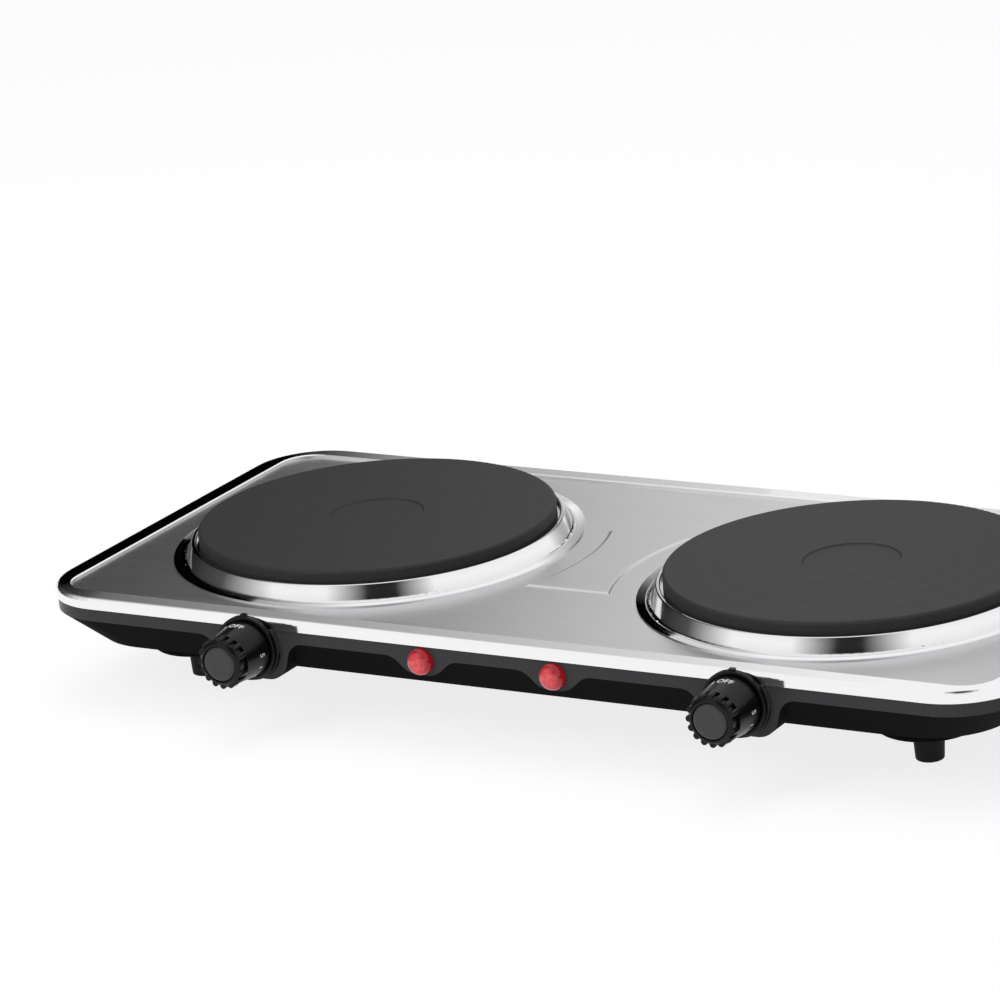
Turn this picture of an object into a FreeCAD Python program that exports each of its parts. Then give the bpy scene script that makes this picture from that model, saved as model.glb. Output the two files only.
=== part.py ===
import FreeCAD
import Part
import math
import os
import types
import Sketcher

# Two-plate electric hot plate: a pressed steel cover on a moulded black base, two cast plates in
# polished collars, and a thermostat with a dial knob and a lamp for each plate.
# Millimetres, +Z up, front towards -Y. The origin is on the floor, under the middle of the whole.

# Each row is a driving dimension: its name, its value in mm and what it measures.
SIZES = [
    ("plate_radius", 93.6, "cast plate, outer radius"),
    ("plate_proud", 6.0, "plate top above the collar rim"),
    ("plate_round", 1.5, "rounding of the plate's upper edge"),
    ("plate_ledge", 6.2, "overhang of the plate beyond its lower drum"),
    ("plate_drum", 7.6, "height of the plate's lower drum"),
    ("dimple_radius", 24.0, "shallow dimple in the middle of the plate"),
    ("dimple_depth", 0.6, "depth of the dimple"),
    ("groove_wall", 7.4, "drum wall outside the element groove"),
    ("groove_inner", 30.0, "inner radius of the element groove"),
    ("groove_depth", 6.0, "depth of the element groove"),
    ("rim_gap", 1.4, "plate to collar, all round"),
    ("rim_width", 2.2, "width of the collar's rolled rim"),
    ("rim_height", 8.8, "collar rim above the panel"),
    ("rim_round", 0.9, "rounding of the collar's rim"),
    ("shelf_depth", 2.2, "collar rim down to the shelf that carries the plate"),
    ("shelf_gap", 0.6, "shelf edge to the plate's drum"),
    ("wall_lean", 4.3, "collar wall, rim to foot, measured outwards"),
    ("wall_foot_round", 2.0, "hollow rounding at the foot of the collar wall"),
    ("flange_width", 6.0, "collar flange that lies on the panel"),
    ("ring_gauge", 0.7, "thickness of the collar's sheet"),
    ("collar_wall", 1.2, "thickness of the collar's leaning wall, measured level"),
    ("burner_gap", 59.0, "between the two collar flanges"),
    ("end_margin", 15.5, "collar flange to the end of the panel"),
    ("side_margin", 9.0, "collar flange to the front and rear of the panel"),
    ("border_width", 12.0, "raised border round the panel, with its rolled edge"),
    ("border_rise", 1.6, "border above the panel"),
    ("border_chamfer", 0.6, "bevel of the border towards the panel"),
    ("edge_roll", 2.6, "radius of the cover's rolled outer edge"),
    ("corner_radius", 38.0, "corner of the cover, seen from above"),
    ("panel_corner", 17.0, "corner of the sunk panel, seen from above"),
    ("cover_gauge", 0.6, "thickness of the cover's sheet"),
    ("opening_gap", 2.6, "cover opening to the plate's drum"),
    ("waist_half", 15.5, "half width of the raised hourglass at its waist"),
    ("hourglass_half", 44.6, "half length of the raised hourglass, front to rear"),
    ("hourglass_rise", 0.9, "height of the raised hourglass"),
    ("hourglass_slope", 0.8, "sloped edge of the raised hourglass"),
    ("skirt_drop", 4.2, "panel down to the lower edge of the cover"),
    ("band_height", 6.7, "upright band of the base under the cover"),
    ("taper_height", 17.4, "height of the base's tapered lower wall"),
    ("taper_end", 16.5, "how far the lower wall draws in at the ends"),
    ("taper_side", 14.0, "how far the lower wall draws in at the front and rear"),
    ("floor_corner", 37.0, "corner of the base's floor, seen from above"),
    ("edge_setback", 0.8, "base band behind the cover's edge"),
    ("base_wall", 2.6, "wall and floor of the base"),
    ("lip_gap", 0.6, "cover to the base's locating lip"),
    ("lip_height", 2.0, "height of the locating lip"),
    ("leg_height", 11.2, "hollow leg between the base and each foot"),
    ("leg_radius", 27.0, "leg where it meets the base"),
    ("leg_tip_radius", 25.0, "leg at its lower end"),
    ("leg_round", 2.0, "rounding of the leg's lower edge"),
    ("foot_height", 17.0, "height of a foot"),
    ("foot_top_radius", 8.0, "foot, upper radius"),
    ("foot_tip_radius", 7.0, "foot, lower radius"),
    ("foot_round", 1.0, "rounding of the foot's lower edge"),
    ("foot_end", 65.0, "foot centre from the end of the cover"),
    ("foot_side", 59.5, "foot centre from the front or rear of the cover"),
    ("post_end", 40.0, "corner post from the end of the cover"),
    ("post_side", 33.0, "corner post from the front or rear of the cover"),
    ("post_middle", 62.0, "middle posts from the centre, front and rear"),
    ("post_radius", 5.0, "post that takes a cover screw"),
    ("foot_post_height", 10.0, "post in the base that takes a foot's screw"),
    ("screw_radius", 2.0, "shank of the cover and foot screws"),
    ("screw_gap", 0.1, "screw to its hole, radial"),
    ("screw_head_radius", 3.6, "head of a cover screw"),
    ("screw_head_height", 2.2, "height of every screw head"),
    ("foot_head_radius", 3.0, "head of a foot screw"),
    ("foot_bore_depth", 8.0, "depth of the screw bore in a foot"),
    ("weld_nut_half", 4.5, "half width of a square weld nut"),
    ("weld_nut_height", 4.0, "height of a weld nut"),
    ("vent_width", 4.0, "width of a cooling slot in the floor"),
    ("vent_length", 66.0, "length of a cooling slot"),
    ("vent_pitch", 13.0, "spacing of the cooling slots"),
    ("lamp_lobe_top", 17.0, "half width of a lamp lobe at the band"),
    ("lamp_lobe_bottom", 7.3, "half width of a lamp lobe at its lower edge"),
    ("lamp_lobe_drop", 8.5, "lamp lobe below the band"),
    ("lamp_lobe_round", 11.0, "corners of a lamp lobe"),
    ("knob_lobe_top", 23.5, "half width of a knob lobe at the band"),
    ("knob_lobe_bottom", 18.5, "half width of a knob lobe at its lower edge"),
    ("knob_lobe_below", 17.0, "knob lobe below the knob's axis"),
    ("knob_lobe_flare", 9.0, "hollow rounding where a knob lobe leaves the band"),
    ("knob_lobe_round", 12.0, "lower corners of a knob lobe"),
    ("lobe_reach", 22.0, "depth of the knob and inlet lobes, front to rear"),
    ("knob_drop", 10.0, "knob axis below the cover's lower edge"),
    ("knob_boss_radius", 17.6, "round boss behind the dial"),
    ("knob_boss_proud", 1.0, "boss in front of the cover's edge"),
    ("dial_radius", 16.8, "dial ring behind the knob"),
    ("dial_rim", 1.8, "width of the dial's raised rim"),
    ("dial_depth", 3.0, "thickness of the dial at its rim"),
    ("dial_floor", 1.6, "thickness of the dial inside its rim"),
    ("dial_bore", 9.2, "hole in the dial, round the fixing nut"),
    ("nub_half", 1.4, "half width of the pointer on the dial"),
    ("nub_rise", 1.0, "pointer above the dial's rim"),
    ("knob_gap", 0.6, "dial to the back of the knob"),
    ("knob_radius", 14.6, "knob at its back edge"),
    ("knob_edge", 2.0, "straight edge at the back of the knob"),
    ("knob_neck_radius", 13.0, "knob where the print ends"),
    ("knob_print_depth", 16.5, "tapered part of the knob that carries the print"),
    ("grip_radius", 11.7, "knob between its ribs"),
    ("grip_length", 5.0, "length of the ribbed grip"),
    ("rib_radius", 1.7, "radius of a grip rib"),
    ("grip_nose", 1.2, "bevel at the front of the grip"),
    ("cap_radius", 9.2, "disc in the front of the knob"),
    ("cap_gap", 0.2, "disc to its seat, radial"),
    ("cap_seat", 1.8, "depth of the disc's seat"),
    ("cap_proud", 0.8, "disc in front of the knob"),
    ("cap_round", 2.2, "rounding of the disc's edge"),
    ("knob_recess_radius", 10.2, "recess in the back of the knob, over the nut"),
    ("knob_recess_depth", 4.0, "depth of that recess"),
    ("spindle_radius", 3.0, "control spindle"),
    ("spindle_flat", 2.1, "spindle axis to its flat"),
    ("spindle_grip", 12.0, "length of the spindle inside the knob"),
    ("spindle_fit", 0.06, "running clearance of the spindle, radial"),
    ("knob_bore_spare", 0.6, "end of the spindle to the end of the knob's bore"),
    ("spindle_tail", 7.0, "spindle inside the thermostat"),
    ("spindle_tail_spare", 0.4, "end of the spindle to the end of its socket"),
    ("bush_radius", 4.9, "threaded bush of the thermostat"),
    ("bush_proud", 3.0, "bush in front of the boss"),
    ("nut_gap", 0.05, "nut bore to its thread, radial"),
    ("nut_half_flats", 7.0, "fixing nut, half across the flats"),
    ("nut_height", 2.6, "height of the fixing nut"),
    ("thermostat_half", 13.0, "thermostat, half width"),
    ("thermostat_above", 8.6, "thermostat above the axis"),
    ("thermostat_below", 6.5, "thermostat below the axis"),
    ("thermostat_depth", 22.0, "thermostat, front to rear"),
    ("thermostat_round", 1.5, "upright edges of the thermostat"),
    ("blade_half", 3.1, "half width of a terminal blade"),
    ("blade_gauge", 0.8, "thickness of a terminal blade"),
    ("blade_length", 8.0, "length of a terminal blade"),
    ("blade_offset", 8.0, "terminal blade from the thermostat's middle"),
    ("control_bore", 15.2, "bore in the knob lobe, round the thermostat"),
    ("control_bore_depth", 14.0, "depth of that bore"),
    ("lamp_spacing", 74.3, "between the two lamps"),
    ("lamp_drop", 7.8, "lamp axis below the cover's lower edge"),
    ("lens_radius", 6.8, "lamp lens"),
    ("lens_proud", 6.2, "lens in front of the band"),
    ("lens_round", 5.6, "rounded nose of the lens"),
    ("lens_stem_radius", 4.0, "stem of the lens"),
    ("lens_stem_gap", 0.1, "lens stem to its hole, radial"),
    ("lens_stem_spare", 1.0, "stem behind the wall"),
    ("lamp_length", 17.0, "lamp holder"),
    ("lamp_radius", 3.7, "radius of the lamp holder"),
    ("clip_width", 1.2, "spring clip round the lens stem"),
    ("clip_gauge", 0.8, "thickness of the clip"),
    ("clip_room", 0.3, "clip to the bore round it"),
    ("element_gap", 0.3, "element to the sides of its groove"),
    ("element_depth", 5.4, "depth of the heating element"),
    ("shield_gauge", 0.6, "thickness of the heat shield"),
    ("shield_flange", 6.0, "flange of the shield under the plate's drum"),
    ("shield_margin", 0.9, "shield flange inside the drum's edge"),
    ("shield_depth", 10.0, "depth of the shield"),
    ("shield_lean", 6.3, "how far the shield's wall draws in"),
    ("shield_bore", 7.0, "hole in the shield, round the stud"),
    ("bead_radius", 4.0, "ceramic bead on an element lead"),
    ("bead_flange", 6.0, "flange of a bead under the shield"),
    ("bead_flange_height", 2.0, "thickness of that flange"),
    ("bead_gap", 0.3, "bead to its hole, radial"),
    ("bead_offset", 45.0, "beads behind the middle of the plate"),
    ("bead_half_pitch", 12.0, "half the distance between the beads"),
    ("bead_drop", 6.0, "bead below its flange"),
    ("lead_pin_radius", 1.2, "pin below a bead"),
    ("lead_pin_length", 5.0, "length of that pin"),
    ("strap_half", 13.0, "half width of the clamp strap"),
    ("strap_gauge", 2.0, "thickness of the clamp strap"),
    ("strap_toe_start", 3.0, "strap toe beyond the cover's opening"),
    ("strap_toe", 11.0, "length of a strap toe under the cover"),
    ("strap_leg_lean", 9.0, "how far a strap leg leans"),
    ("stud_radius", 2.95, "centre stud"),
    ("stud_fit", 0.05, "stud to the plate's tapped hole, radial"),
    ("stud_depth", 8.0, "stud inside the plate"),
    ("stud_spare", 1.5, "stud below its nut"),
    ("strap_hole_gap", 0.3, "stud to the strap's hole, radial"),
    ("clamp_nut_half", 5.0, "clamp nut, half across the flats"),
    ("clamp_nut_height", 5.0, "height of the clamp nut"),
    ("block_half", 17.0, "terminal block, half length"),
    ("block_depth", 14.0, "terminal block, front to rear"),
    ("block_height", 13.0, "terminal block height"),
    ("block_setback", 40.0, "terminal block from the rear of the cover"),
    ("block_pitch", 11.0, "spacing of the terminals"),
    ("block_screw_radius", 2.4, "terminal screw hole"),
    ("block_screw_depth", 5.0, "depth of a terminal screw hole"),
    ("block_round", 1.0, "upright edges of the terminal block"),
    ("inlet_lobe_drop", 13.0, "inlet lobe below the band"),
    ("inlet_lobe_bottom", 11.0, "half width of the inlet lobe at its lower edge"),
    ("inlet_lobe_top", 20.0, "half width of the inlet lobe at the band"),
    ("inlet_lobe_round", 5.0, "corners of the inlet lobe"),
    ("gland_drop", 9.5, "gland axis below the cover's lower edge"),
    ("gland_radius", 8.4, "flange of the cord gland"),
    ("gland_flange", 3.0, "thickness of that flange"),
    ("gland_neck", 6.0, "neck of the gland through the wall"),
    ("gland_neck_gap", 0.1, "gland neck to its hole, radial"),
    ("gland_bore", 4.0, "hole for the cord"),
    ("gland_tail", 6.0, "gland behind the wall"),
    ("gland_nut_width", 2.2, "ring nut round the gland's tail"),
    ("gland_nut_height", 3.0, "height of the ring nut"),
    ("gland_room", 0.4, "ring nut to the bore round it"),
]
RIB_COUNT = 16
VENT_COUNT = 7
BLOCK_WAYS = 3
TOUCH = 0.01
SIDES = {"left": -1, "right": 1}
ENDS = {"front": -1, "rear": 1}

doc = FreeCAD.newDocument("hot_plate")
sheet = doc.addObject("Spreadsheet::Sheet", "dims")
for row, (alias, number, meaning) in enumerate(SIZES, start=1):
    sheet.set(f"A{row}", meaning)
    sheet.set(f"B{row}", str(number))
    sheet.setAlias(f"B{row}", alias)
doc.recompute()


class Size:
    """A length that carries its number in mm and the sheet expression that drives it."""

    def __init__(self, number, text):
        self.number = number
        self.text = text

    def __add__(self, other):
        return Size(self.number + number_of(other), f"({self.text} + {text_of(other)})")

    def __sub__(self, other):
        return Size(self.number - number_of(other), f"({self.text} - {text_of(other)})")

    def __mul__(self, other):
        return Size(self.number * number_of(other), f"({self.text} * {text_of(other)})")

    def __truediv__(self, other):
        return Size(self.number / number_of(other), f"({self.text} / {text_of(other)})")

    def __radd__(self, other):
        return self + other

    def __rsub__(self, other):
        return -self + other

    def __neg__(self):
        return Size(-self.number, f"(-{self.text})")


def number_of(size):
    """The number in a size, or a plain number as it is."""
    return size.number if isinstance(size, Size) else float(size)


def text_of(size):
    """The sheet expression of a size, or a plain number as text."""
    return size.text if isinstance(size, Size) else repr(float(size))


def root(size):
    """Square root of a size that holds an area."""
    return Size(math.sqrt(size.number), f"sqrt({size.text})")


s = types.SimpleNamespace(**{alias: Size(number, f"dims.{alias}") for alias, number, _ in SIZES})

# Heights, from the floor upwards.
floor_bottom = s.foot_height + s.leg_height
floor_top = floor_bottom + s.base_wall
band_bottom = floor_bottom + s.taper_height
cover_edge = band_bottom + s.band_height
panel = cover_edge + s.skirt_drop
cover_top = panel + s.border_rise
cover_under = panel - s.cover_gauge
knob_axis = cover_edge - s.knob_drop
lamp_axis = cover_edge - s.lamp_drop
gland_axis = cover_edge - s.gland_drop

# Radii of the collar and plate, from the plate outwards.
drum_radius = s.plate_radius - s.plate_ledge
groove_outer = drum_radius - s.groove_wall
opening_radius = drum_radius + s.opening_gap
rim_inner = s.plate_radius + s.rim_gap
rim_outer = rim_inner + s.rim_width
wall_foot = rim_outer + s.wall_lean
flange_radius = wall_foot + s.flange_width
shelf_top = s.rim_height - s.shelf_depth
drum_bottom = shelf_top - s.plate_drum

# Plan of the housing, from the burners outwards.
burner_x = flange_radius + s.burner_gap / 2
panel_half_x = burner_x + flange_radius + s.end_margin
panel_half_y = flange_radius + s.side_margin
half_x = panel_half_x + s.border_width
half_y = panel_half_y + s.border_width
band_half_x = half_x - s.edge_setback
band_half_y = half_y - s.edge_setback
wall_inside = band_half_y - s.base_wall
lamp_x = s.lamp_spacing / 2

# Distances of the controls in front of the middle of the housing.
boss_face = half_y + s.knob_boss_proud
knob_back = boss_face + s.dial_floor + s.knob_gap
grip_start = s.knob_print_depth + s.knob_edge
knob_length = grip_start + s.grip_length + s.grip_nose
front_reach = knob_back + knob_length + s.cap_proud
rear_reach = band_half_y + s.gland_flange
housing_y = (front_reach - rear_reach) / 2

FACING = {
    "up": FreeCAD.Rotation(),
    "front": FreeCAD.Rotation(FreeCAD.Vector(1, 0, 0), 90),
    "rear": FreeCAD.Rotation(FreeCAD.Vector(1, 0, 0), -90),
}
nodes = {}


def bind(item, name, size):
    """Set a property from a size and tie it to the sheet."""
    item.setExpression(name, text_of(size))


def locate(item, x=0, y=0, z=0, facing="up"):
    """Place an item at sizes x, y, z, with its own +Z up, to the front or to the rear."""
    base = FreeCAD.Vector(number_of(x), number_of(y), number_of(z))
    item.Placement = FreeCAD.Placement(base, FACING[facing])
    for axis, size in zip("xyz", (x, y, z)):
        bind(item, f"Placement.Base.{axis}", size)
    return item


def node(label, item, x=0, y=0, z=0, facing="up"):
    """Keep an item as a finished piece; y is measured from the middle of the housing."""
    item.Label = label
    nodes[label] = locate(item, x, housing_y + y, z, facing)
    return item


def new_body(name):
    """An empty body."""
    return doc.addObject("PartDesign::Body", name)


def new_sketch(body, role="XY_Plane", offset=0):
    """A sketch on one of the body's own origin planes, moved along its normal by an offset."""
    sketch = body.newObject("Sketcher::SketchObject", "Sketch")
    plane = next(item for item in body.Origin.OriginFeatures if item.Role == role)
    sketch.AttachmentSupport = [(plane, "")]
    sketch.MapMode = "FlatFace"
    bind(sketch, "AttachmentOffset.Base.z", offset)
    return sketch


def dimension(sketch, kind, places, size):
    """Add a driving dimension to a sketch and tie it to the sheet."""
    index = sketch.addConstraint(Sketcher.Constraint(kind, *places, number_of(size)))
    name = f"size_{index}"
    sketch.renameConstraint(index, name)
    if isinstance(size, Size):
        bind(sketch, f"Constraints.{name}", size)


def pin_point(sketch, geometry, position, x, y):
    """Dimension a point of a sketch from the sketch's origin."""
    dimension(sketch, "DistanceX", (-1, 1, geometry, position), x)
    dimension(sketch, "DistanceY", (-1, 1, geometry, position), y)


def corner_arc(before, corner, after, radius):
    """Start, end and arc that round a corner, and whether the outline turns left there."""
    back = (before - corner).normalize()
    ahead = (after - corner).normalize()
    half = back.getAngle(ahead) / 2
    start = corner + back * (radius / math.tan(half))
    end = corner + ahead * (radius / math.tan(half))
    centre = corner + (back + ahead).normalize() * (radius / math.sin(half))
    turns_left = back.cross(ahead).z < 0
    first, last = (start, end) if turns_left else (end, start)
    angles = [math.atan2(point.y - centre.y, point.x - centre.x) for point in (first, last)]
    circle = Part.Circle(centre, FreeCAD.Vector(0, 0, 1), radius)
    return start, end, Part.ArcOfCircle(circle, *angles), turns_left


def outline(sketch, corners):
    """Draw a closed outline; a corner is (x, y) or, where it is rounded, (x, y, radius)."""
    points = [FreeCAD.Vector(number_of(corner[0]), number_of(corner[1]), 0) for corner in corners]
    count = len(points)
    rounds = {}
    for index, corner in enumerate(corners):
        if len(corner) == 3:
            neighbours = points[index - 1], points[index], points[(index + 1) % count]
            rounds[index] = corner_arc(*neighbours, number_of(corner[2]))
    lines = []
    for index in range(count):
        following = (index + 1) % count
        start = rounds[index][1] if index in rounds else points[index]
        end = rounds[following][0] if following in rounds else points[following]
        lines.append(sketch.addGeometry(Part.LineSegment(start, end), False))
    for index, corner in enumerate(corners):
        arriving, leaving = lines[index - 1], lines[index]
        if index not in rounds:
            sketch.addConstraint(Sketcher.Constraint("Coincident", arriving, 2, leaving, 1))
            pin_point(sketch, leaving, 1, corner[0], corner[1])
            continue
        turns_left = rounds[index][3]
        arc = sketch.addGeometry(rounds[index][2], False)
        tip = sketch.addGeometry(Part.Point(points[index]), True)
        first, last = (1, 2) if turns_left else (2, 1)
        sketch.addConstraint(Sketcher.Constraint("Tangent", arriving, 2, arc, first))
        sketch.addConstraint(Sketcher.Constraint("Tangent", arc, last, leaving, 1))
        sketch.addConstraint(Sketcher.Constraint("PointOnObject", tip, 1, arriving))
        sketch.addConstraint(Sketcher.Constraint("PointOnObject", tip, 1, leaving))
        pin_point(sketch, tip, 1, corner[0], corner[1])
        dimension(sketch, "Radius", (arc,), corner[2])
    return sketch


def rectangle(half_length, half_depth, radius=None):
    """Corners of a rectangle about the origin, rounded if a radius is given."""
    extra = () if radius is None else (radius,)
    signs = ((-1, -1), (1, -1), (1, 1), (-1, 1))
    return [(half_length * sx, half_depth * sy, *extra) for sx, sy in signs]


def hexagon(half_flats):
    """Corners of a hexagon about the origin, from half its width across the flats."""
    reach = half_flats * 2 / math.sqrt(3)
    angles = [math.radians(60 * step) for step in range(6)]
    return [(reach * math.cos(angle), reach * math.sin(angle)) for angle in angles]


def circle(sketch, radius, x=0, y=0):
    """Draw a circle."""
    centre = FreeCAD.Vector(number_of(x), number_of(y), 0)
    shape = Part.Circle(centre, FreeCAD.Vector(0, 0, 1), number_of(radius))
    index = sketch.addGeometry(shape, False)
    pin_point(sketch, index, 3, x, y)
    dimension(sketch, "Radius", (index,), radius)
    return sketch


def flatted_circle(sketch, radius, flat, y=0):
    """Draw a circle about (0, y) with its top cut flat at a distance above its centre."""
    half = root(radius * radius - flat * flat)
    centre = FreeCAD.Vector(0, number_of(y), 0)
    start = math.pi - math.atan2(number_of(flat), number_of(half))
    end = 2 * math.pi + math.atan2(number_of(flat), number_of(half))
    round_edge = Part.Circle(centre, FreeCAD.Vector(0, 0, 1), number_of(radius))
    arc = sketch.addGeometry(Part.ArcOfCircle(round_edge, start, end), False)
    right = centre + FreeCAD.Vector(number_of(half), number_of(flat), 0)
    left = centre + FreeCAD.Vector(-number_of(half), number_of(flat), 0)
    line = sketch.addGeometry(Part.LineSegment(right, left), False)
    sketch.addConstraint(Sketcher.Constraint("Coincident", arc, 2, line, 1))
    sketch.addConstraint(Sketcher.Constraint("Coincident", line, 2, arc, 1))
    sketch.addConstraint(Sketcher.Constraint("Horizontal", line))
    pin_point(sketch, arc, 3, 0, y)
    dimension(sketch, "Radius", (arc,), radius)
    dimension(sketch, "DistanceY", (arc, 3, line, 1), flat)
    return sketch


def pad(body, sketch, length, inwards=False):
    """Raise a sketch along its normal, or against it."""
    feature = body.newObject("PartDesign::Pad", "Pad")
    feature.Profile = sketch
    feature.Reversed = inwards
    bind(feature, "Length", length)
    return feature


def pocket(body, sketch, depth=None, outwards=False):
    """Sink a sketch against its normal, or along it; without a depth it goes right through."""
    feature = body.newObject("PartDesign::Pocket", "Pocket")
    feature.Profile = sketch
    feature.Reversed = outwards
    if depth is None:
        feature.Type = "ThroughAll"
    else:
        bind(feature, "Length", depth)
    return feature


def taper(body, upper, lower):
    """Join two sketches by a straight-sided loft."""
    feature = body.newObject("PartDesign::AdditiveLoft", "Taper")
    feature.Profile = upper
    feature.Sections = [lower]
    feature.Ruled = True
    return feature


def turned(name, corners):
    """A body turned about its own Z from an outline of radius and height."""
    body = new_body(name)
    sketch = outline(new_sketch(body, "XZ_Plane"), corners)
    feature = body.newObject("PartDesign::Revolution", "Turning")
    feature.Profile = sketch
    feature.ReferenceAxis = (sketch, ["V_Axis"])
    feature.Angle = 360
    return body


def edge_names(shape, wanted):
    """Names of the edges whose bounding box passes a test."""
    return [f"Edge{index}" for index, edge in enumerate(shape.Edges, start=1) if wanted(edge.BoundBox)]


def dress(body, kind, size_name, size, wanted):
    """Fillet or chamfer the edges of the body's last feature that pass a test."""
    doc.recompute()
    base = body.Tip
    feature = body.newObject(f"PartDesign::{kind}", kind)
    feature.Base = (base, edge_names(base.Shape, wanted))
    bind(feature, size_name, size)
    return feature


def cylinder(radius, height, x=0, y=0, z=0, facing="up"):
    """A loose cylinder, standing on x, y, z along its facing."""
    item = doc.addObject("Part::Cylinder", "Cylinder")
    bind(item, "Radius", radius)
    bind(item, "Height", height)
    return locate(item, x, y, z, facing)


def block(half_length, half_depth, height, x, y, z):
    """A loose box whose lower face is centred on x, y, z."""
    item = doc.addObject("Part::Box", "Block")
    bind(item, "Length", half_length * 2)
    bind(item, "Width", half_depth * 2)
    bind(item, "Height", height)
    return locate(item, x - half_length, y - half_depth, z)


def fused(items):
    """One shape out of several."""
    item = doc.addObject("Part::MultiFuse", "Fusion")
    item.Shapes = items
    return item


def cut(base, tool):
    """A shape with another taken out of it."""
    item = doc.addObject("Part::Cut", "Cut")
    item.Base = base
    item.Tool = tool
    return item


def group(label, items):
    """Identical pieces kept together as separate solids; they are placed from the housing's middle."""
    item = doc.addObject("Part::Compound", "Group")
    item.Links = items
    return node(label, item)


def post_places():
    """Where the six cover screws stand, from the middle of the housing."""
    corner_x = half_x - s.post_end
    corner_y = half_y - s.post_side
    corners = [(corner_x * sx, corner_y * sy) for sx in SIDES.values() for sy in ENDS.values()]
    return corners + [(0, s.post_middle * sy) for sy in ENDS.values()]


def foot_places():
    """Name and place of each foot, from the middle of the housing."""
    foot_x = half_x - s.foot_end
    foot_y = half_y - s.foot_side
    return {
        f"{end}_{side}": (foot_x * sx, foot_y * sy)
        for end, sy in ENDS.items()
        for side, sx in SIDES.items()
    }


def hourglass(sketch, inset):
    """The raised figure between the burners: two arcs about them, joined front and rear."""
    radius = burner_x - s.waist_half + inset
    half = s.hourglass_half - inset
    corner_x = burner_x - root(radius * radius - half * half)
    angle = math.asin(number_of(half) / number_of(radius))
    arcs = []
    for sign, turn in ((1, math.pi), (-1, 0)):
        centre = FreeCAD.Vector(sign * number_of(burner_x), 0, 0)
        edge = Part.Circle(centre, FreeCAD.Vector(0, 0, 1), number_of(radius))
        arc = sketch.addGeometry(Part.ArcOfCircle(edge, turn - angle, turn + angle), False)
        pin_point(sketch, arc, 3, burner_x * sign, 0)
        dimension(sketch, "Radius", (arc,), radius)
        arcs.append(arc)
    right, left = arcs
    for sign, right_end, left_end in ((1, 1, 2), (-1, 2, 1)):
        right_point = FreeCAD.Vector(number_of(corner_x), sign * number_of(half), 0)
        left_point = FreeCAD.Vector(-number_of(corner_x), sign * number_of(half), 0)
        line = sketch.addGeometry(Part.LineSegment(right_point, left_point), False)
        sketch.addConstraint(Sketcher.Constraint("Coincident", line, 1, right, right_end))
        sketch.addConstraint(Sketcher.Constraint("Coincident", line, 2, left, left_end))
        sketch.addConstraint(Sketcher.Constraint("Horizontal", line))
        dimension(sketch, "DistanceY", (-1, 1, line, 1), half * sign)
    return sketch


def pressed_blank(name, inset):
    """The cover's outside, or with an inset the hollow under its sheet."""
    body = new_body(name)
    bottom = cover_edge - inset
    plan = rectangle(half_x - inset, half_y - inset, s.corner_radius - inset)
    pad(body, outline(new_sketch(body, offset=bottom), plan), cover_top - inset - bottom)
    top = number_of(cover_top - inset)
    dress(body, "Fillet", "Radius", s.edge_roll - inset, lambda box: box.ZMin > top - TOUCH)
    recess = rectangle(panel_half_x + inset, panel_half_y + inset, s.panel_corner + inset)
    pocket(body, outline(new_sketch(body, offset=cover_top - inset), recess), s.border_rise)
    pad(body, hourglass(new_sketch(body, offset=panel - inset), inset), s.hourglass_rise)
    level = number_of(panel - inset + s.hourglass_rise)

    def on_top(box):
        return level - TOUCH < box.ZMin and box.ZMax < level + TOUCH

    dress(body, "Chamfer", "Size", s.hourglass_slope, on_top)
    return body


def make_cover():
    """The pressed steel cover: rolled edge, raised border, panel, raised hourglass, two openings."""
    outside = pressed_blank("CoverOutside", 0)
    reach_x = number_of(panel_half_x) + TOUCH
    reach_y = number_of(panel_half_y) + TOUCH
    top = number_of(cover_top)

    def beside_panel(box):
        within_x = -reach_x < box.XMin and box.XMax < reach_x
        within_y = -reach_y < box.YMin and box.YMax < reach_y
        return box.ZMin > top - TOUCH and within_x and within_y

    dress(outside, "Chamfer", "Size", s.border_chamfer, beside_panel)
    openings = new_sketch(outside, offset=cover_top)
    for sign in SIDES.values():
        circle(openings, opening_radius, burner_x * sign)
    pocket(outside, openings)
    node("top_cover", cut(outside, pressed_blank("CoverInside", s.cover_gauge)))


def lobe(x, top_half, bottom_half, bottom, flare, corner_round):
    """Outline of a lobe that hangs from the band, flared at the top."""
    over = band_bottom + s.base_wall
    shoulder = top_half + flare * 2
    return [
        (x - shoulder, band_bottom),
        (x - top_half, band_bottom, flare),
        (x - bottom_half, bottom, corner_round),
        (x + bottom_half, bottom, corner_round),
        (x + top_half, band_bottom, flare),
        (x + shoulder, band_bottom),
        (x + shoulder, over),
        (x - shoulder, over),
    ]


def base_blank(name, inset, bottom):
    """The base's upright band and tapered lower wall, drawn in by an inset, down to a height."""
    body = new_body(name)
    corner = s.corner_radius - s.edge_setback - inset
    band = rectangle(band_half_x - inset, band_half_y - inset, corner)
    pad(body, outline(new_sketch(body, offset=band_bottom), band), s.band_height + s.lip_height)
    drawn = (band_bottom - bottom) / s.taper_height
    end = band_half_x - s.taper_end * drawn - inset
    side = band_half_y - s.taper_side * drawn - inset
    floor = rectangle(end, side, s.floor_corner - inset)
    upper = outline(new_sketch(body, offset=band_bottom), band)
    taper(body, upper, outline(new_sketch(body, offset=bottom), floor))
    return body


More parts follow.
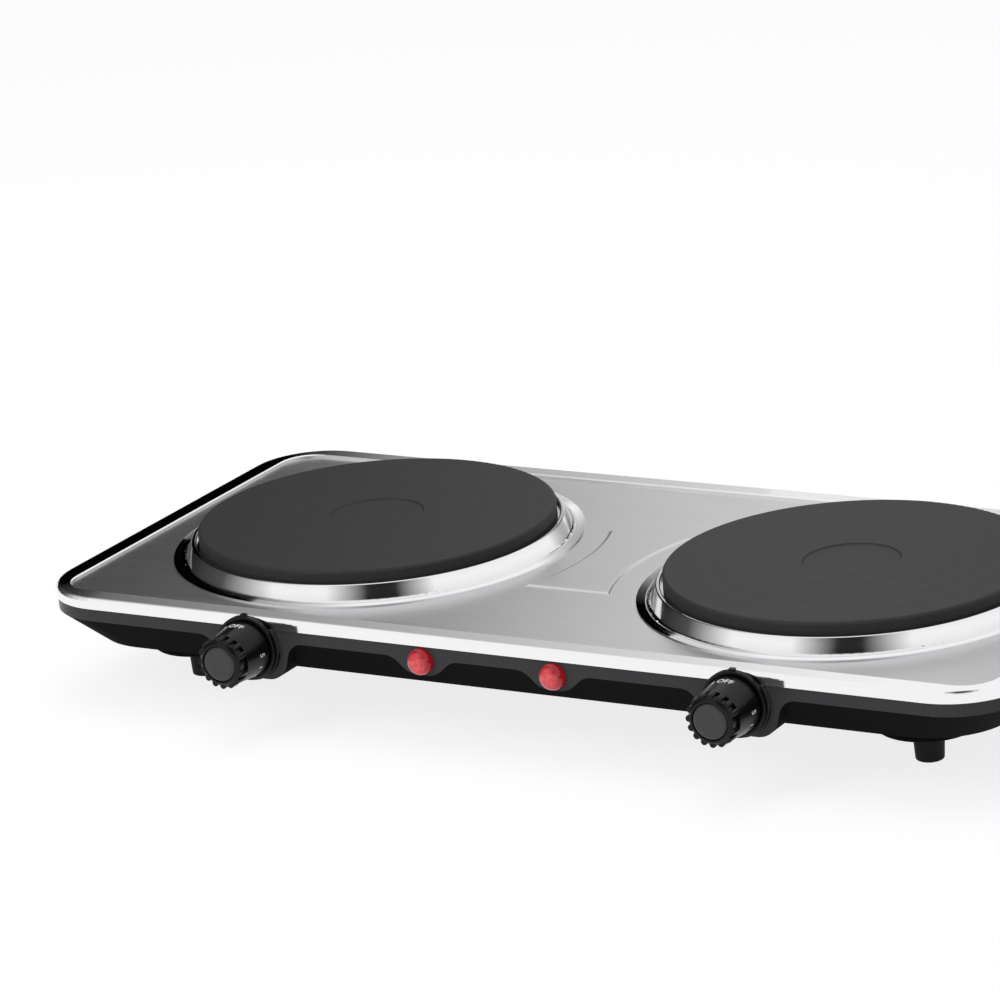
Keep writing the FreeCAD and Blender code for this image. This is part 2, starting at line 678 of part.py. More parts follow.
def make_base_outside():
    """The outside of the base: band with its rebate, taper and lobes."""
    body = base_blank("BaseOutside", 0, floor_bottom)
    rebate = new_sketch(body, offset=cover_edge + s.lip_height)
    outline(rebate, rectangle(half_x, half_y))
    lip = s.cover_gauge + s.lip_gap
    outline(rebate, rectangle(half_x - lip, half_y - lip, s.corner_radius - lip))
    pocket(body, rebate, s.lip_height)
    lamp_low = band_bottom - s.lamp_lobe_drop
    lamp_depth = s.lamp_lobe_drop * s.taper_side / s.taper_height + s.base_wall
    knob_low = knob_axis - s.knob_lobe_below
    for sign in SIDES.values():
        shape = lobe(lamp_x * sign, s.lamp_lobe_top, s.lamp_lobe_bottom, lamp_low,
                     s.lamp_lobe_round, s.lamp_lobe_round)
        pad(body, outline(new_sketch(body, "XZ_Plane", band_half_y), shape), lamp_depth, inwards=True)
    for sign in SIDES.values():
        shape = lobe(burner_x * sign, s.knob_lobe_top, s.knob_lobe_bottom, knob_low,
                     s.knob_lobe_flare, s.knob_lobe_round)
        pad(body, outline(new_sketch(body, "XZ_Plane", band_half_y), shape), s.lobe_reach, inwards=True)
    shape = lobe(0, s.inlet_lobe_top, s.inlet_lobe_bottom, band_bottom - s.inlet_lobe_drop,
                 s.inlet_lobe_round, s.inlet_lobe_round)
    pad(body, outline(new_sketch(body, "XZ_Plane", -band_half_y), shape), s.lobe_reach)
    return body


def make_knob_bosses():
    """The round bosses behind the dials, cut level with the cover's lower edge."""
    bosses = []
    for sign in SIDES.values():
        body = new_body("KnobBoss")
        sketch = flatted_circle(new_sketch(body), s.knob_boss_radius, s.knob_drop)
        pad(body, sketch, boss_face - band_half_y)
        bosses.append(locate(body, burner_x * sign, -band_half_y, knob_axis, "front"))
    return bosses


def base_holes():
    """Everything that is bored or slotted through the base."""
    holes = []
    lamp_bore = s.lens_stem_radius + s.clip_width + s.clip_room
    lamp_hole = s.lens_stem_radius + s.lens_stem_gap
    bush_hole = s.bush_radius + s.nut_gap
    for sign in SIDES.values():
        x = lamp_x * sign
        back = s.lamp_length - wall_inside
        holes.append(cylinder(lamp_bore, s.lamp_length, x, back, lamp_axis, "front"))
        holes.append(cylinder(lamp_hole, s.lamp_length * 2, x, back, lamp_axis, "front"))
        x = burner_x * sign
        back = s.control_bore_depth - wall_inside
        holes.append(cylinder(s.control_bore, s.control_bore_depth, x, back, knob_axis, "front"))
        holes.append(cylinder(bush_hole, s.control_bore_depth * 2, x, back, knob_axis, "front"))
        first = (VENT_COUNT - 1) / 2
        for step in range(VENT_COUNT):
            slot_x = x + s.vent_pitch * (step - first)
            low = floor_bottom - s.base_wall
            holes.append(block(s.vent_width / 2, s.vent_length / 2, s.base_wall * 3, slot_x, 0, low))
    nut_bore = s.gland_neck + s.gland_nut_width + s.gland_room
    neck_hole = s.gland_neck + s.gland_neck_gap
    start = wall_inside - s.lobe_reach
    holes.append(cylinder(nut_bore, s.lobe_reach, 0, start, gland_axis, "rear"))
    holes.append(cylinder(neck_hole, s.lobe_reach * 2, 0, start, gland_axis, "rear"))
    shank_hole = s.screw_radius + s.screw_gap
    for x, y in post_places():
        holes.append(cylinder(shank_hole, panel, x, y, 0))
    for x, y in foot_places().values():
        holes.append(cylinder(shank_hole, floor_top + s.foot_post_height, x, y, 0))
    return holes


def make_base():
    """The moulded base: a thin tapered shell with lobes, posts, bores and cooling slots."""
    shell = cut(make_base_outside(), base_blank("BaseInside", s.base_wall, floor_top))
    post_height = cover_under - s.weld_nut_height - floor_top
    posts = [cylinder(s.post_radius, post_height, x, y, floor_top) for x, y in post_places()]
    for x, y in foot_places().values():
        posts.append(cylinder(s.post_radius, s.foot_post_height, x, y, floor_top))
    solid = fused([shell, *make_knob_bosses(), *posts])
    node("base_tub", cut(solid, fused(base_holes())))


def make_legs():
    """Four hollow legs under the base, each with a tube in its middle for the foot's screw."""
    shank = s.screw_radius + s.screw_gap
    low = s.foot_height + s.base_wall
    for name, (x, y) in foot_places().items():
        body = turned("Leg", [
            (shank, s.foot_height),
            (s.leg_tip_radius, s.foot_height, s.leg_round),
            (s.leg_radius, floor_bottom),
            (s.leg_radius - s.base_wall, floor_bottom),
            (s.leg_tip_radius - s.base_wall, low),
            (s.post_radius, low),
            (s.post_radius, floor_bottom),
            (shank, floor_bottom),
        ])
        node(f"leg_{name}", body, x, y)


def make_collar(side, x):
    """Polished collar: a flange on the panel, a leaning wall, a rolled rim and a shelf."""
    under = shelf_top - s.ring_gauge
    lean = s.wall_lean / (s.rim_height - s.ring_gauge)
    inside_foot = wall_foot - s.collar_wall
    inside_top = inside_foot - lean * under
    body = turned("Collar", [
        (flange_radius, 0),
        (flange_radius, s.ring_gauge),
        (wall_foot, s.ring_gauge, s.wall_foot_round),
        (rim_outer, s.rim_height, s.rim_round),
        (rim_inner, s.rim_height, s.rim_round),
        (rim_inner, shelf_top),
        (drum_radius + s.shelf_gap, shelf_top),
        (drum_radius + s.shelf_gap, under),
        (inside_top, under),
        (inside_foot, 0),
    ])
    node(f"trim_ring_{side}", body, x, 0, panel)


def make_plate(side, x):
    """Cast plate: a disc on the collar's shelf, with a drum and an element groove below it."""
    top = s.rim_height + s.plate_proud
    tapped = s.stud_radius + s.stud_fit
    body = turned("Plate", [
        (0, top - s.dimple_depth),
        (0, drum_bottom + s.stud_depth),
        (tapped, drum_bottom + s.stud_depth),
        (tapped, drum_bottom),
        (s.groove_inner, drum_bottom),
        (s.groove_inner, drum_bottom + s.groove_depth),
        (groove_outer, drum_bottom + s.groove_depth),
        (groove_outer, drum_bottom),
        (drum_radius, drum_bottom),
        (drum_radius, shelf_top),
        (s.plate_radius, shelf_top),
        (s.plate_radius, top, s.plate_round),
        (s.dimple_radius + s.dimple_depth, top),
        (s.dimple_radius, top - s.dimple_depth),
    ])
    node(f"hot_plate_{side}", body, x, 0, panel)


def make_element(side, x):
    """Heating element, pressed into the plate's groove."""
    roof = drum_bottom + s.groove_depth
    inner = s.groove_inner + s.element_gap
    outer = groove_outer - s.element_gap
    low = roof - s.element_depth
    body = turned("Element", [(inner, low), (outer, low), (outer, roof), (inner, roof)])
    node(f"heating_element_{side}", body, x, 0, panel)


def shield_bottom():
    """Underside of the heat shield, measured from the panel."""
    return drum_bottom - s.shield_gauge - s.shield_depth


def make_shield(side, x):
    """Heat shield: a shallow dish under the element, with a hole for the stud and two for leads."""
    rim = drum_radius - s.shield_margin
    neck = rim - s.shield_flange
    foot = neck - s.shield_lean
    low = shield_bottom()
    body = turned("Shield", [
        (rim, drum_bottom),
        (neck, drum_bottom),
        (foot, low + s.shield_gauge),
        (s.shield_bore, low + s.shield_gauge),
        (s.shield_bore, low),
        (foot + s.shield_gauge / 2, low),
        (neck + s.shield_gauge / 2, drum_bottom - s.shield_gauge),
        (rim, drum_bottom - s.shield_gauge),
    ])
    holes = new_sketch(body, offset=low + s.shield_gauge)
    for sign in SIDES.values():
        circle(holes, s.bead_radius + s.bead_gap, s.bead_half_pitch * sign, s.bead_offset)
    pocket(body, holes, s.shield_gauge * 2)
    node(f"heat_shield_{side}", body, x, 0, panel)


def make_beads(side, x):
    """Two ceramic beads that lead the element's ends out through the shield."""
    low = shield_bottom()
    element_low = drum_bottom + s.groove_depth - s.element_depth
    flange_low = low - s.bead_flange_height
    bead_low = flange_low - s.bead_drop
    beads = []
    for sign in SIDES.values():
        body = turned("Bead", [
            (0, element_low),
            (0, bead_low - s.lead_pin_length),
            (s.lead_pin_radius, bead_low - s.lead_pin_length),
            (s.lead_pin_radius, bead_low),
            (s.bead_radius, bead_low),
            (s.bead_radius, flange_low),
            (s.bead_flange, flange_low),
            (s.bead_flange, low),
            (s.bead_radius, low),
            (s.bead_radius, element_low),
        ])
        beads.append(locate(body, x + s.bead_half_pitch * sign, s.bead_offset, panel))
    group(f"element_beads_{side}", beads)


def make_strap(side, x):
    """Clamp strap: its toes press on the cover's underside while the stud pulls its middle up."""
    body = new_body("Strap")
    knee = opening_radius + s.strap_toe_start
    toe = knee + s.strap_toe
    high = -s.cover_gauge
    low = shield_bottom()
    foot = knee - s.strap_leg_lean
    shift = s.strap_gauge / 2
    half = [
        (foot, low),
        (knee, high),
        (toe, high),
        (toe, high - s.strap_gauge),
        (knee + shift, high - s.strap_gauge),
        (foot + shift, low - s.strap_gauge),
    ]
    mirrored = [(-px, py) for px, py in half[::-1]]
    side_view = outline(new_sketch(body, "XZ_Plane", -s.strap_half), half + mirrored)
    pad(body, side_view, s.strap_half * 2)
    hole = circle(new_sketch(body, offset=low), s.stud_radius + s.strap_hole_gap)
    pocket(body, hole, s.strap_gauge * 2)
    node(f"clamp_strap_{side}", body, x, 0, panel)


def make_stud(side, x):
    """Centre stud, screwed into the plate."""
    top = drum_bottom + s.stud_depth
    low = shield_bottom() - s.strap_gauge - s.clamp_nut_height - s.stud_spare
    body = turned("Stud", [(0, low), (s.stud_radius, low), (s.stud_radius, top), (0, top)])
    node(f"clamp_stud_{side}", body, x, 0, panel)


def hex_nut(half_flats, bore, height):
    """A hexagon nut that stands on its own origin."""
    body = new_body("Nut")
    sketch = outline(new_sketch(body), hexagon(half_flats))
    circle(sketch, bore)
    pad(body, sketch, height)
    return body


def make_clamp_nuts():
    """The nuts that hold the plates down."""
    nuts = []
    for sign in SIDES.values():
        nut = hex_nut(s.clamp_nut_half, s.stud_radius + s.nut_gap, s.clamp_nut_height)
        low = panel + shield_bottom() - s.strap_gauge - s.clamp_nut_height
        nuts.append(locate(nut, burner_x * sign, 0, low))
    group("clamp_nuts", nuts)


def make_thermostat(side, x):
    """Thermostat: a moulded case behind the wall, with a socket for the spindle and two blades."""
    body = new_body("Thermostat")
    half = s.thermostat_half
    back = wall_inside - s.thermostat_depth
    case = [
        (-half, -s.thermostat_below, s.thermostat_round),
        (half, -s.thermostat_below, s.thermostat_round),
        (half, s.thermostat_above, s.thermostat_round),
        (-half, s.thermostat_above, s.thermostat_round),
    ]
    pad(body, outline(new_sketch(body, offset=back), case), s.thermostat_depth)
    for sign in SIDES.values():
        middle = s.blade_offset * sign
        blade = [
            (middle - s.blade_half, -s.blade_gauge / 2),
            (middle + s.blade_half, -s.blade_gauge / 2),
            (middle + s.blade_half, s.blade_gauge / 2),
            (middle - s.blade_half, s.blade_gauge / 2),
        ]
        pad(body, outline(new_sketch(body, offset=back), blade), s.blade_length, inwards=True)
    socket = circle(new_sketch(body, offset=wall_inside), s.spindle_radius + s.spindle_fit)
    pocket(body, socket, s.spindle_tail + s.spindle_tail_spare)
    node(f"thermostat_{side}", body, x, 0, knob_axis, "front")


def make_bush(side, x):
    """Threaded bush of the thermostat, through the wall and the boss."""
    inner = s.spindle_radius + s.spindle_fit
    front = boss_face + s.bush_proud
    body = turned("Bush", [
        (inner, wall_inside), (s.bush_radius, wall_inside), (s.bush_radius, front), (inner, front),
    ])
    node(f"thermostat_bush_{side}", body, x, 0, knob_axis, "front")


def make_thermostat_nuts():
    """The nuts that hold the thermostats to the bosses."""
    nuts = []
    for sign in SIDES.values():
        nut = hex_nut(s.nut_half_flats, s.bush_radius + s.nut_gap, s.nut_height)
        nuts.append(locate(nut, burner_x * sign, -boss_face, knob_axis, "front"))
    group("thermostat_nuts", nuts)


def make_dial(side, x):
    """Dial ring on the boss: a raised rim with a pointer at the top."""
    rim_start = s.dial_radius - s.dial_rim
    edge = s.dial_rim / 4
    body = turned("Dial", [
        (s.dial_bore, 0),
        (s.dial_radius, 0),
        (s.dial_radius, s.dial_depth, edge),
        (rim_start, s.dial_depth, edge),
        (rim_start, s.dial_floor),
        (s.dial_bore, s.dial_floor),
    ])
    tip = s.dial_radius + s.nub_rise
    root_y = s.dial_radius - s.dial_rim / 2
    nub = [(-s.nub_half, root_y), (s.nub_half, root_y), (s.nub_half, tip), (-s.nub_half, tip)]
    pad(body, outline(new_sketch(body), nub), s.dial_depth - edge)
    node(f"dial_ring_{side}", body, x, -boss_face, knob_axis, "front")


def make_knob(side, x):
    """Dial knob: a tapered skirt, a ribbed grip, a seat for the disc and a flatted bore."""
    nose = grip_start + s.grip_length
    seat = s.cap_radius + s.cap_gap
    body = turned("Knob", [
        (0, s.knob_recess_depth),
        (s.knob_recess_radius, s.knob_recess_depth),
        (s.knob_recess_radius, 0),
        (s.knob_radius, 0),
        (s.knob_radius, s.knob_edge),
        (s.knob_neck_radius, grip_start),
        (s.grip_radius, grip_start),
        (s.grip_radius, nose),
        (s.grip_radius - s.grip_nose, knob_length),
        (seat, knob_length),
        (seat, knob_length - s.cap_seat),
        (0, knob_length - s.cap_seat),
    ])
    bore = new_sketch(body)
    flatted_circle(bore, s.spindle_radius + s.spindle_fit, s.spindle_flat + s.spindle_fit)
    pocket(body, bore, s.knob_recess_depth + s.spindle_grip + s.knob_bore_spare, outwards=True)
    rib = circle(new_sketch(body, offset=grip_start), s.rib_radius, s.grip_radius)
    ribs = body.newObject("PartDesign::PolarPattern", "Ribs")
    ribs.Originals = [pad(body, rib, s.grip_length)]
    spin = next(item for item in body.Origin.OriginFeatures if item.Role == "Z_Axis")
    ribs.Axis = (spin, [""])
    ribs.Angle = 360
    ribs.Occurrences = RIB_COUNT
    body.Tip = ribs
    node(f"knob_{side}", body, x, -knob_back, knob_axis, "front")


def make_cap(side, x):
    """Smooth disc in the front of the knob."""
    low = knob_length - s.cap_seat
    high = knob_length + s.cap_proud
    body = turned("Cap", [
        (0, low), (s.cap_radius, low), (s.cap_radius, high, s.cap_round), (0, high),
    ])
    node(f"knob_cap_{side}", body, x, -knob_back, knob_axis, "front")


def make_spindle(side, x):
    """Control spindle: round in the bush, flatted inside the knob."""
    tail = wall_inside - s.spindle_tail
    shoulder = knob_back + s.knob_recess_depth
    body = turned("Spindle", [
        (0, tail), (s.spindle_radius, tail), (s.spindle_radius, shoulder), (0, shoulder),
    ])
    flat = flatted_circle(new_sketch(body, offset=shoulder), s.spindle_radius, s.spindle_flat)
    pad(body, flat, s.spindle_grip)
    node(f"spindle_{side}", body, x, 0, knob_axis, "front")


def make_lamp(side, x):
    """Pilot lamp: a round-nosed lens in the band, with its holder behind it."""
    stem_end = wall_inside - s.lens_stem_spare
    front = band_half_y + s.lens_proud
    lens = turned("Lens", [
        (0, stem_end),
        (s.lens_stem_radius, stem_end),
        (s.lens_stem_radius, band_half_y),
        (s.lens_radius, band_half_y),
        (s.lens_radius, front, s.lens_round),
        (0, front),
    ])
    node(f"lamp_lens_{side}", lens, x, 0, lamp_axis, "front")
    back = stem_end - s.lamp_length
    holder = turned("Holder", [(0, back), (s.lamp_radius, back), (s.lamp_radius, stem_end), (0, stem_end)])
    node(f"lamp_holder_{side}", holder, x, 0, lamp_axis, "front")


def make_lamp_clips():
    """The clips that hold the lenses behind the wall."""
    inner = s.lens_stem_radius + s.nut_gap
    outer = s.lens_stem_radius + s.clip_width
    back = wall_inside - s.clip_gauge
    clips = []
    for sign in SIDES.values():
        clip = turned("Clip", [(inner, back), (outer, back), (outer, wall_inside), (inner, wall_inside)])
        clips.append(locate(clip, lamp_x * sign, 0, lamp_axis, "front"))
    group("lamp_clips", clips)


def make_feet():
    """Four tapered feet, each with a bore for its screw."""
    head = s.foot_head_radius + s.screw_gap * 2
    shank = s.screw_radius + s.screw_gap
    for name, (x, y) in foot_places().items():
        body = turned("Foot", [
            (head, 0),
            (s.foot_tip_radius, 0, s.foot_round),
            (s.foot_top_radius, s.foot_height),
            (shank, s.foot_height),
            (shank, s.foot_bore_depth),
            (head, s.foot_bore_depth),
        ])
        node(f"foot_{name}", body, x, y)


def screw(head_radius, seat, tip):
    """A pan-head screw pointing up: the head ends at its seat, the shank at its tip."""
    return turned("Screw", [
        (0, seat - s.screw_head_height),
        (head_radius, seat - s.screw_head_height, s.screw_head_height / 2),
        (head_radius, seat),
        (s.screw_radius, seat),
        (s.screw_radius, tip),
        (0, tip),
    ])


def make_screws():
    """Foot screws from below into the base, cover screws through the posts into the weld nuts."""
    foot_tip = floor_top + s.foot_post_height - s.screw_head_height
    foot_screws = [
        locate(screw(s.foot_head_radius, s.foot_bore_depth, foot_tip), x, y)
        for x, y in foot_places().values()
    ]
    group("foot_screws", foot_screws)
    cover_tip = cover_under - s.screw_gap * 2
    cover_screws = [
        locate(screw(s.screw_head_radius, floor_bottom, cover_tip), x, y) for x, y in post_places()
    ]
    group("cover_screws", cover_screws)


def make_weld_nuts():
    """Square nuts welded under the cover, one over each post."""
    nuts = []
    for x, y in post_places():
        body = new_body("WeldNut")
        sketch = outline(new_sketch(body), rectangle(s.weld_nut_half, s.weld_nut_half))
        circle(sketch, s.screw_radius + s.screw_gap)
        pad(body, sketch, s.weld_nut_height)
        nuts.append(locate(body, x, y, cover_under - s.weld_nut_height))
    group("weld_nuts", nuts)


def make_terminal_block():
    """Terminal block on the floor, where the supply meets the wiring."""
    body = new_body("TerminalBlock")
    plan = rectangle(s.block_half, s.block_depth / 2, s.block_round)
    pad(body, outline(new_sketch(body), plan), s.block_height)
    holes = new_sketch(body, offset=s.block_height)
    first = (BLOCK_WAYS - 1) / 2
    for step in range(BLOCK_WAYS):
        circle(holes, s.block_screw_radius, s.block_pitch * (step - first))
    pocket(body, holes, s.block_screw_depth)
    node("terminal_block", body, 0, half_y - s.block_setback, floor_top)


def make_gland():
    """Cord gland in the rear wall, with its ring nut."""
    tail = wall_inside - s.gland_tail
    gland = turned("Gland", [
        (s.gland_bore, tail),
        (s.gland_neck, tail),
        (s.gland_neck, band_half_y),
        (s.gland_radius, band_half_y),
        (s.gland_radius, rear_reach, s.gland_flange / 3),
        (s.gland_bore, rear_reach, s.gland_flange / 3),
    ])
    node("cord_gland", gland, 0, 0, gland_axis, "rear")
    inner = s.gland_neck + s.nut_gap
    outer = s.gland_neck + s.gland_nut_width
    back = wall_inside - s.gland_nut_height
    nut = turned("GlandNut", [(inner, back), (outer, back), (outer, wall_inside), (inner, wall_inside)])
    node("gland_nut", nut, 0, 0, gland_axis, "rear")


def write_parts():
    """Check every object, then write one file for each finished piece."""
    doc.recompute()
    failed = [item.Label for item in doc.Objects if {"Invalid", "Error"} & set(item.State)]
    broken = [label for label, item in nodes.items() if item.Shape.isNull() or not item.Shape.isValid()]
    if failed or broken:
        raise RuntimeError(f"failed objects: {failed}, broken shapes: {broken}")
    os.makedirs("parts", exist_ok=True)
    for label, item in nodes.items():
        item.Shape.exportStep(f"parts/{label}.step")
        print(label, len(item.Shape.Solids), round(item.Shape.Volume))


make_cover()
make_base()
make_legs()
for side_name, side_sign in SIDES.items():
    burner = burner_x * side_sign
    make_collar(side_name, burner)
    make_plate(side_name, burner)
    make_element(side_name, burner)
    make_shield(side_name, burner)
    make_beads(side_name, burner)
    make_strap(side_name, burner)
    make_stud(side_name, burner)
    make_thermostat(side_name, burner)
    make_bush(side_name, burner)
    make_dial(side_name, burner)
    make_knob(side_name, burner)
    make_cap(side_name, burner)
    make_spindle(side_name, burner)
    make_lamp(side_name, lamp_x * side_sign)
make_clamp_nuts()
make_thermostat_nuts()
make_lamp_clips()
make_feet()
make_screws()
make_weld_nuts()
make_terminal_block()
make_gland()
write_parts()
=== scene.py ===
# %% [markdown]
# # Dressing a two-plate electric hot plate
#
# The solids of the hot plate come in as a fixed frame: every piece already has its true size and
# place, in metres. This lesson gives each of them the finish of the real material, adds the print on
# the knobs, and sets up a plain studio to look at it in.

# %% Load the frame
import math
import bpy
import numpy as np
from mathutils import Matrix, Vector


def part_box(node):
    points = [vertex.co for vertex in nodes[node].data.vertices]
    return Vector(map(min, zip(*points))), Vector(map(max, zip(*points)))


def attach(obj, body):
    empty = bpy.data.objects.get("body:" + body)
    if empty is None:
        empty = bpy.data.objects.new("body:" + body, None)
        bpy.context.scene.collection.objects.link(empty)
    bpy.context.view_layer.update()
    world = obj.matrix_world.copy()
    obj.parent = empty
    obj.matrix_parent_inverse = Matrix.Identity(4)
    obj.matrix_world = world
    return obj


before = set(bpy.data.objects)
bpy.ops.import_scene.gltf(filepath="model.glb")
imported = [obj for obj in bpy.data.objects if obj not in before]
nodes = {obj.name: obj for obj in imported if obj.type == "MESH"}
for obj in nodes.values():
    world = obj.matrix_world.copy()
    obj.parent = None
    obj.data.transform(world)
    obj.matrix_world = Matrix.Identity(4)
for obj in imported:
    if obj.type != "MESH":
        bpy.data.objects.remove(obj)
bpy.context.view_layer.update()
MM = 0.001
SIDES = ("left", "right")

# %% [markdown]
# ## Landmarks
#
# A few places are read from the frame, so that patterns and print stay on their pieces if a size
# changes. The cover is symmetric, so its box gives the middle of the housing and its ends. The plates
# give the centres that their turning marks run round. Only the width and rise of the cover's border
# and the radius of the panel's corners are written out, as they were pressed.

# %% Measure the landmarks
cover_low, cover_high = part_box("top_cover")
housing = (Vector(cover_low) + Vector(cover_high)) / 2
BORDER_WIDTH = 12 * MM
BORDER_RISE = 1.6 * MM
PANEL_CORNER = 17 * MM
panel_z = cover_high[2] - BORDER_RISE
panel_half = (
    (cover_high[0] - cover_low[0]) / 2 - BORDER_WIDTH,
    (cover_high[1] - cover_low[1]) / 2 - BORDER_WIDTH,
)


def middle(name):
    """Centre of a node's box."""
    low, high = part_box(name)
    return (Vector(low) + Vector(high)) / 2


burners = {side: middle(f"hot_plate_{side}") for side in SIDES}
print("panel height", round(panel_z, 4), "half size", [round(value, 4) for value in panel_half])

# %% [markdown]
# ## Colours and nodes
#
# Colours are written as the hex values one would pick on a screen. Shaders work in linear light, so
# one function converts them. A second small function adds a node, sets its values and links its
# inputs, which keeps each material readable as a list of steps.

# %% Colour and node helpers
# Sockets of a Mix node that hold its two colours, and the one that gives their mixture.
COLOUR_A, COLOUR_B = 6, 7
COLOUR_MIX = 2


def colour(code):
    """Linear RGBA of an sRGB hex code: the standard piecewise curve, channel by channel."""
    srgb = np.array([int(code[index:index + 2], 16) / 255 for index in (1, 3, 5)])
    linear = np.where(srgb <= 0.04045, srgb / 12.92, ((srgb + 0.055) / 1.055) ** 2.4)
    return (*linear.tolist(), 1.0)


def add(tree, kind, inputs=None, **settings):
    """Add a node, set its own settings, and set or link its inputs."""
    node = tree.nodes.new(kind)
    for name, value in settings.items():
        setattr(node, name, value)
    for name, value in (inputs or {}).items():
        if isinstance(value, bpy.types.NodeSocket):
            tree.links.new(value, node.inputs[name])
        else:
            node.inputs[name].default_value = value
    return node


def new_material(name):
    """An empty material with a principled shader on its output; returns it with tree and shader."""
    material = bpy.data.materials.new(name)
    material.use_nodes = True
    tree = material.node_tree
    tree.nodes.clear()
    shader = add(tree, "ShaderNodeBsdfPrincipled")
    add(tree, "ShaderNodeOutputMaterial", {"Surface": shader.outputs["BSDF"]})
    return material, tree, shader


def place(tree, centre=(0, 0, 0), stretch=(1, 1, 1)):
    """Object coordinates measured from a centre and stretched along the axes."""
    source = add(tree, "ShaderNodeTexCoord")
    shift = tuple(-value * factor for value, factor in zip(centre, stretch))
    return add(tree, "ShaderNodeMapping", {
        "Vector": source.outputs["Object"], "Location": shift, "Scale": stretch,
    }).outputs["Vector"]


def per_length(size_mm):
    """Pattern scale at which one repeat is about so many millimetres."""
    return 1 / (size_mm * MM)


def wave_scale(size_mm):
    """Wave texture scale for a repeat of so many millimetres: at scale 1 it repeats every tau / 20."""
    return per_length(size_mm) * math.tau / 20


def paint(material, *names):
    """Give pieces a material."""
    for name in names:
        slots = nodes[name].data.materials
        slots.clear()
        slots.append(material)
    print(material.name, "on", ", ".join(names))


def both(*stems):
    """Left and right names of pieces."""
    return [f"{stem}_{side}" for stem in stems for side in SIDES]


print("mid grey in linear light:", round(colour("#808080")[0], 3))

# %% [markdown]
# ## The stainless cover
#
# The cover is pressed from one sheet of stainless steel. Its flat panel was brushed lengthwise, which
# leaves fine streaks that soften reflections, while the rolled edge was buffed and shows the room
# more sharply. One material does both: the distance outside the panel's outline tells brushed from
# buffed. The streaks are noise stretched along the length of the cover. Real ones are about a tenth
# of a millimetre wide, too fine to show, so they are drawn half a millimetre wide. The border should
# mirror the room above, as a border that leans outwards does, but its solid is flat. So a bump height
# that falls with the distance from the panel turns its reflections. The hourglass was pressed up
# from below, so its sloped edge ends in soft shoulders, which a small step in bump height adds.

# %% Distances on the cover
HOURGLASS_HALF = 44.6 * MM
WAIST_HALF = 15.5 * MM


def beyond_hourglass(tree):
    """Distance outside the hourglass: the most of those past its ends and past its two arcs.

    A box as wide as the hourglass is long keeps out the places beyond the far sides of the arcs.
    """
    offset = add(tree, "ShaderNodeVectorMath", {0: place(tree, housing)}, operation="ABSOLUTE")
    over = add(tree, "ShaderNodeVectorMath", {
        0: offset.outputs[0], 1: (HOURGLASS_HALF, HOURGLASS_HALF, 0),
    }, operation="SUBTRACT")
    past = add(tree, "ShaderNodeSeparateXYZ", {0: over.outputs[0]})
    margin = add(tree, "ShaderNodeMath", {
        0: past.outputs["X"], 1: past.outputs["Y"],
    }, operation="MAXIMUM").outputs[0]
    for burner in burners.values():
        radius = add(tree, "ShaderNodeVectorMath", {
            0: place(tree, burner, (1, 1, 0)),
        }, operation="LENGTH")
        inside = add(tree, "ShaderNodeMath", {
            0: abs(burner.x - housing.x) - WAIST_HALF, 1: radius.outputs["Value"],
        }, operation="SUBTRACT")
        margin = add(tree, "ShaderNodeMath", {
            0: margin, 1: inside.outputs[0],
        }, operation="MAXIMUM").outputs[0]
    return margin


def beyond_panel(tree):
    """Distance outside the panel's rounded outline, less than zero on the panel.

    Absolute offsets from the middle are lessened by the straight half sides and kept above zero.
    Their length is the distance from the corner's centre, from which the corner's radius is taken.
    """
    offset = add(tree, "ShaderNodeVectorMath", {0: place(tree, housing)}, operation="ABSOLUTE")
    # A whole metre along Z means that height never counts.
    straight = (*[half - PANEL_CORNER for half in panel_half], 1.0)
    over = add(tree, "ShaderNodeVectorMath", {
        0: offset.outputs[0], 1: straight,
    }, operation="SUBTRACT")
    kept = add(tree, "ShaderNodeVectorMath", {
        0: over.outputs[0], 1: (0, 0, 0),
    }, operation="MAXIMUM")
    reach = add(tree, "ShaderNodeVectorMath", {0: kept.outputs[0]}, operation="LENGTH")
    return add(tree, "ShaderNodeMath", {
        0: reach.outputs["Value"], 1: PANEL_CORNER,
    }, operation="SUBTRACT").outputs[0]


print("hourglass", round(2 * HOURGLASS_HALF, 4), "long,", round(2 * WAIST_HALF, 4), "at its waist")

# %% Brushed stainless
BORDER_LEAN = 0.55
SHOULDER = 1.6 * MM
SHOULDER_RISE = 0.5 * MM
STREAK_MM = 0.5
STREAK_LENGTH_MM = 60
STREAK_DEPTH = 0.02 * MM
BRUSHED_ROUGHNESS = (0.27, 0.37)
BUFFED_ROUGHNESS = 0.07


def lean(tree, margin, slope):
    """A normal that leans outwards by a slope where a distance is more than zero."""
    outside = add(tree, "ShaderNodeMath", {0: margin, 1: 0.0}, operation="MAXIMUM")
    fall = add(tree, "ShaderNodeMath", {0: outside.outputs[0], 1: -slope}, operation="MULTIPLY")
    return add(tree, "ShaderNodeBump", {
        "Height": fall.outputs[0], "Strength": 1.0, "Distance": 1.0,
    }).outputs["Normal"]


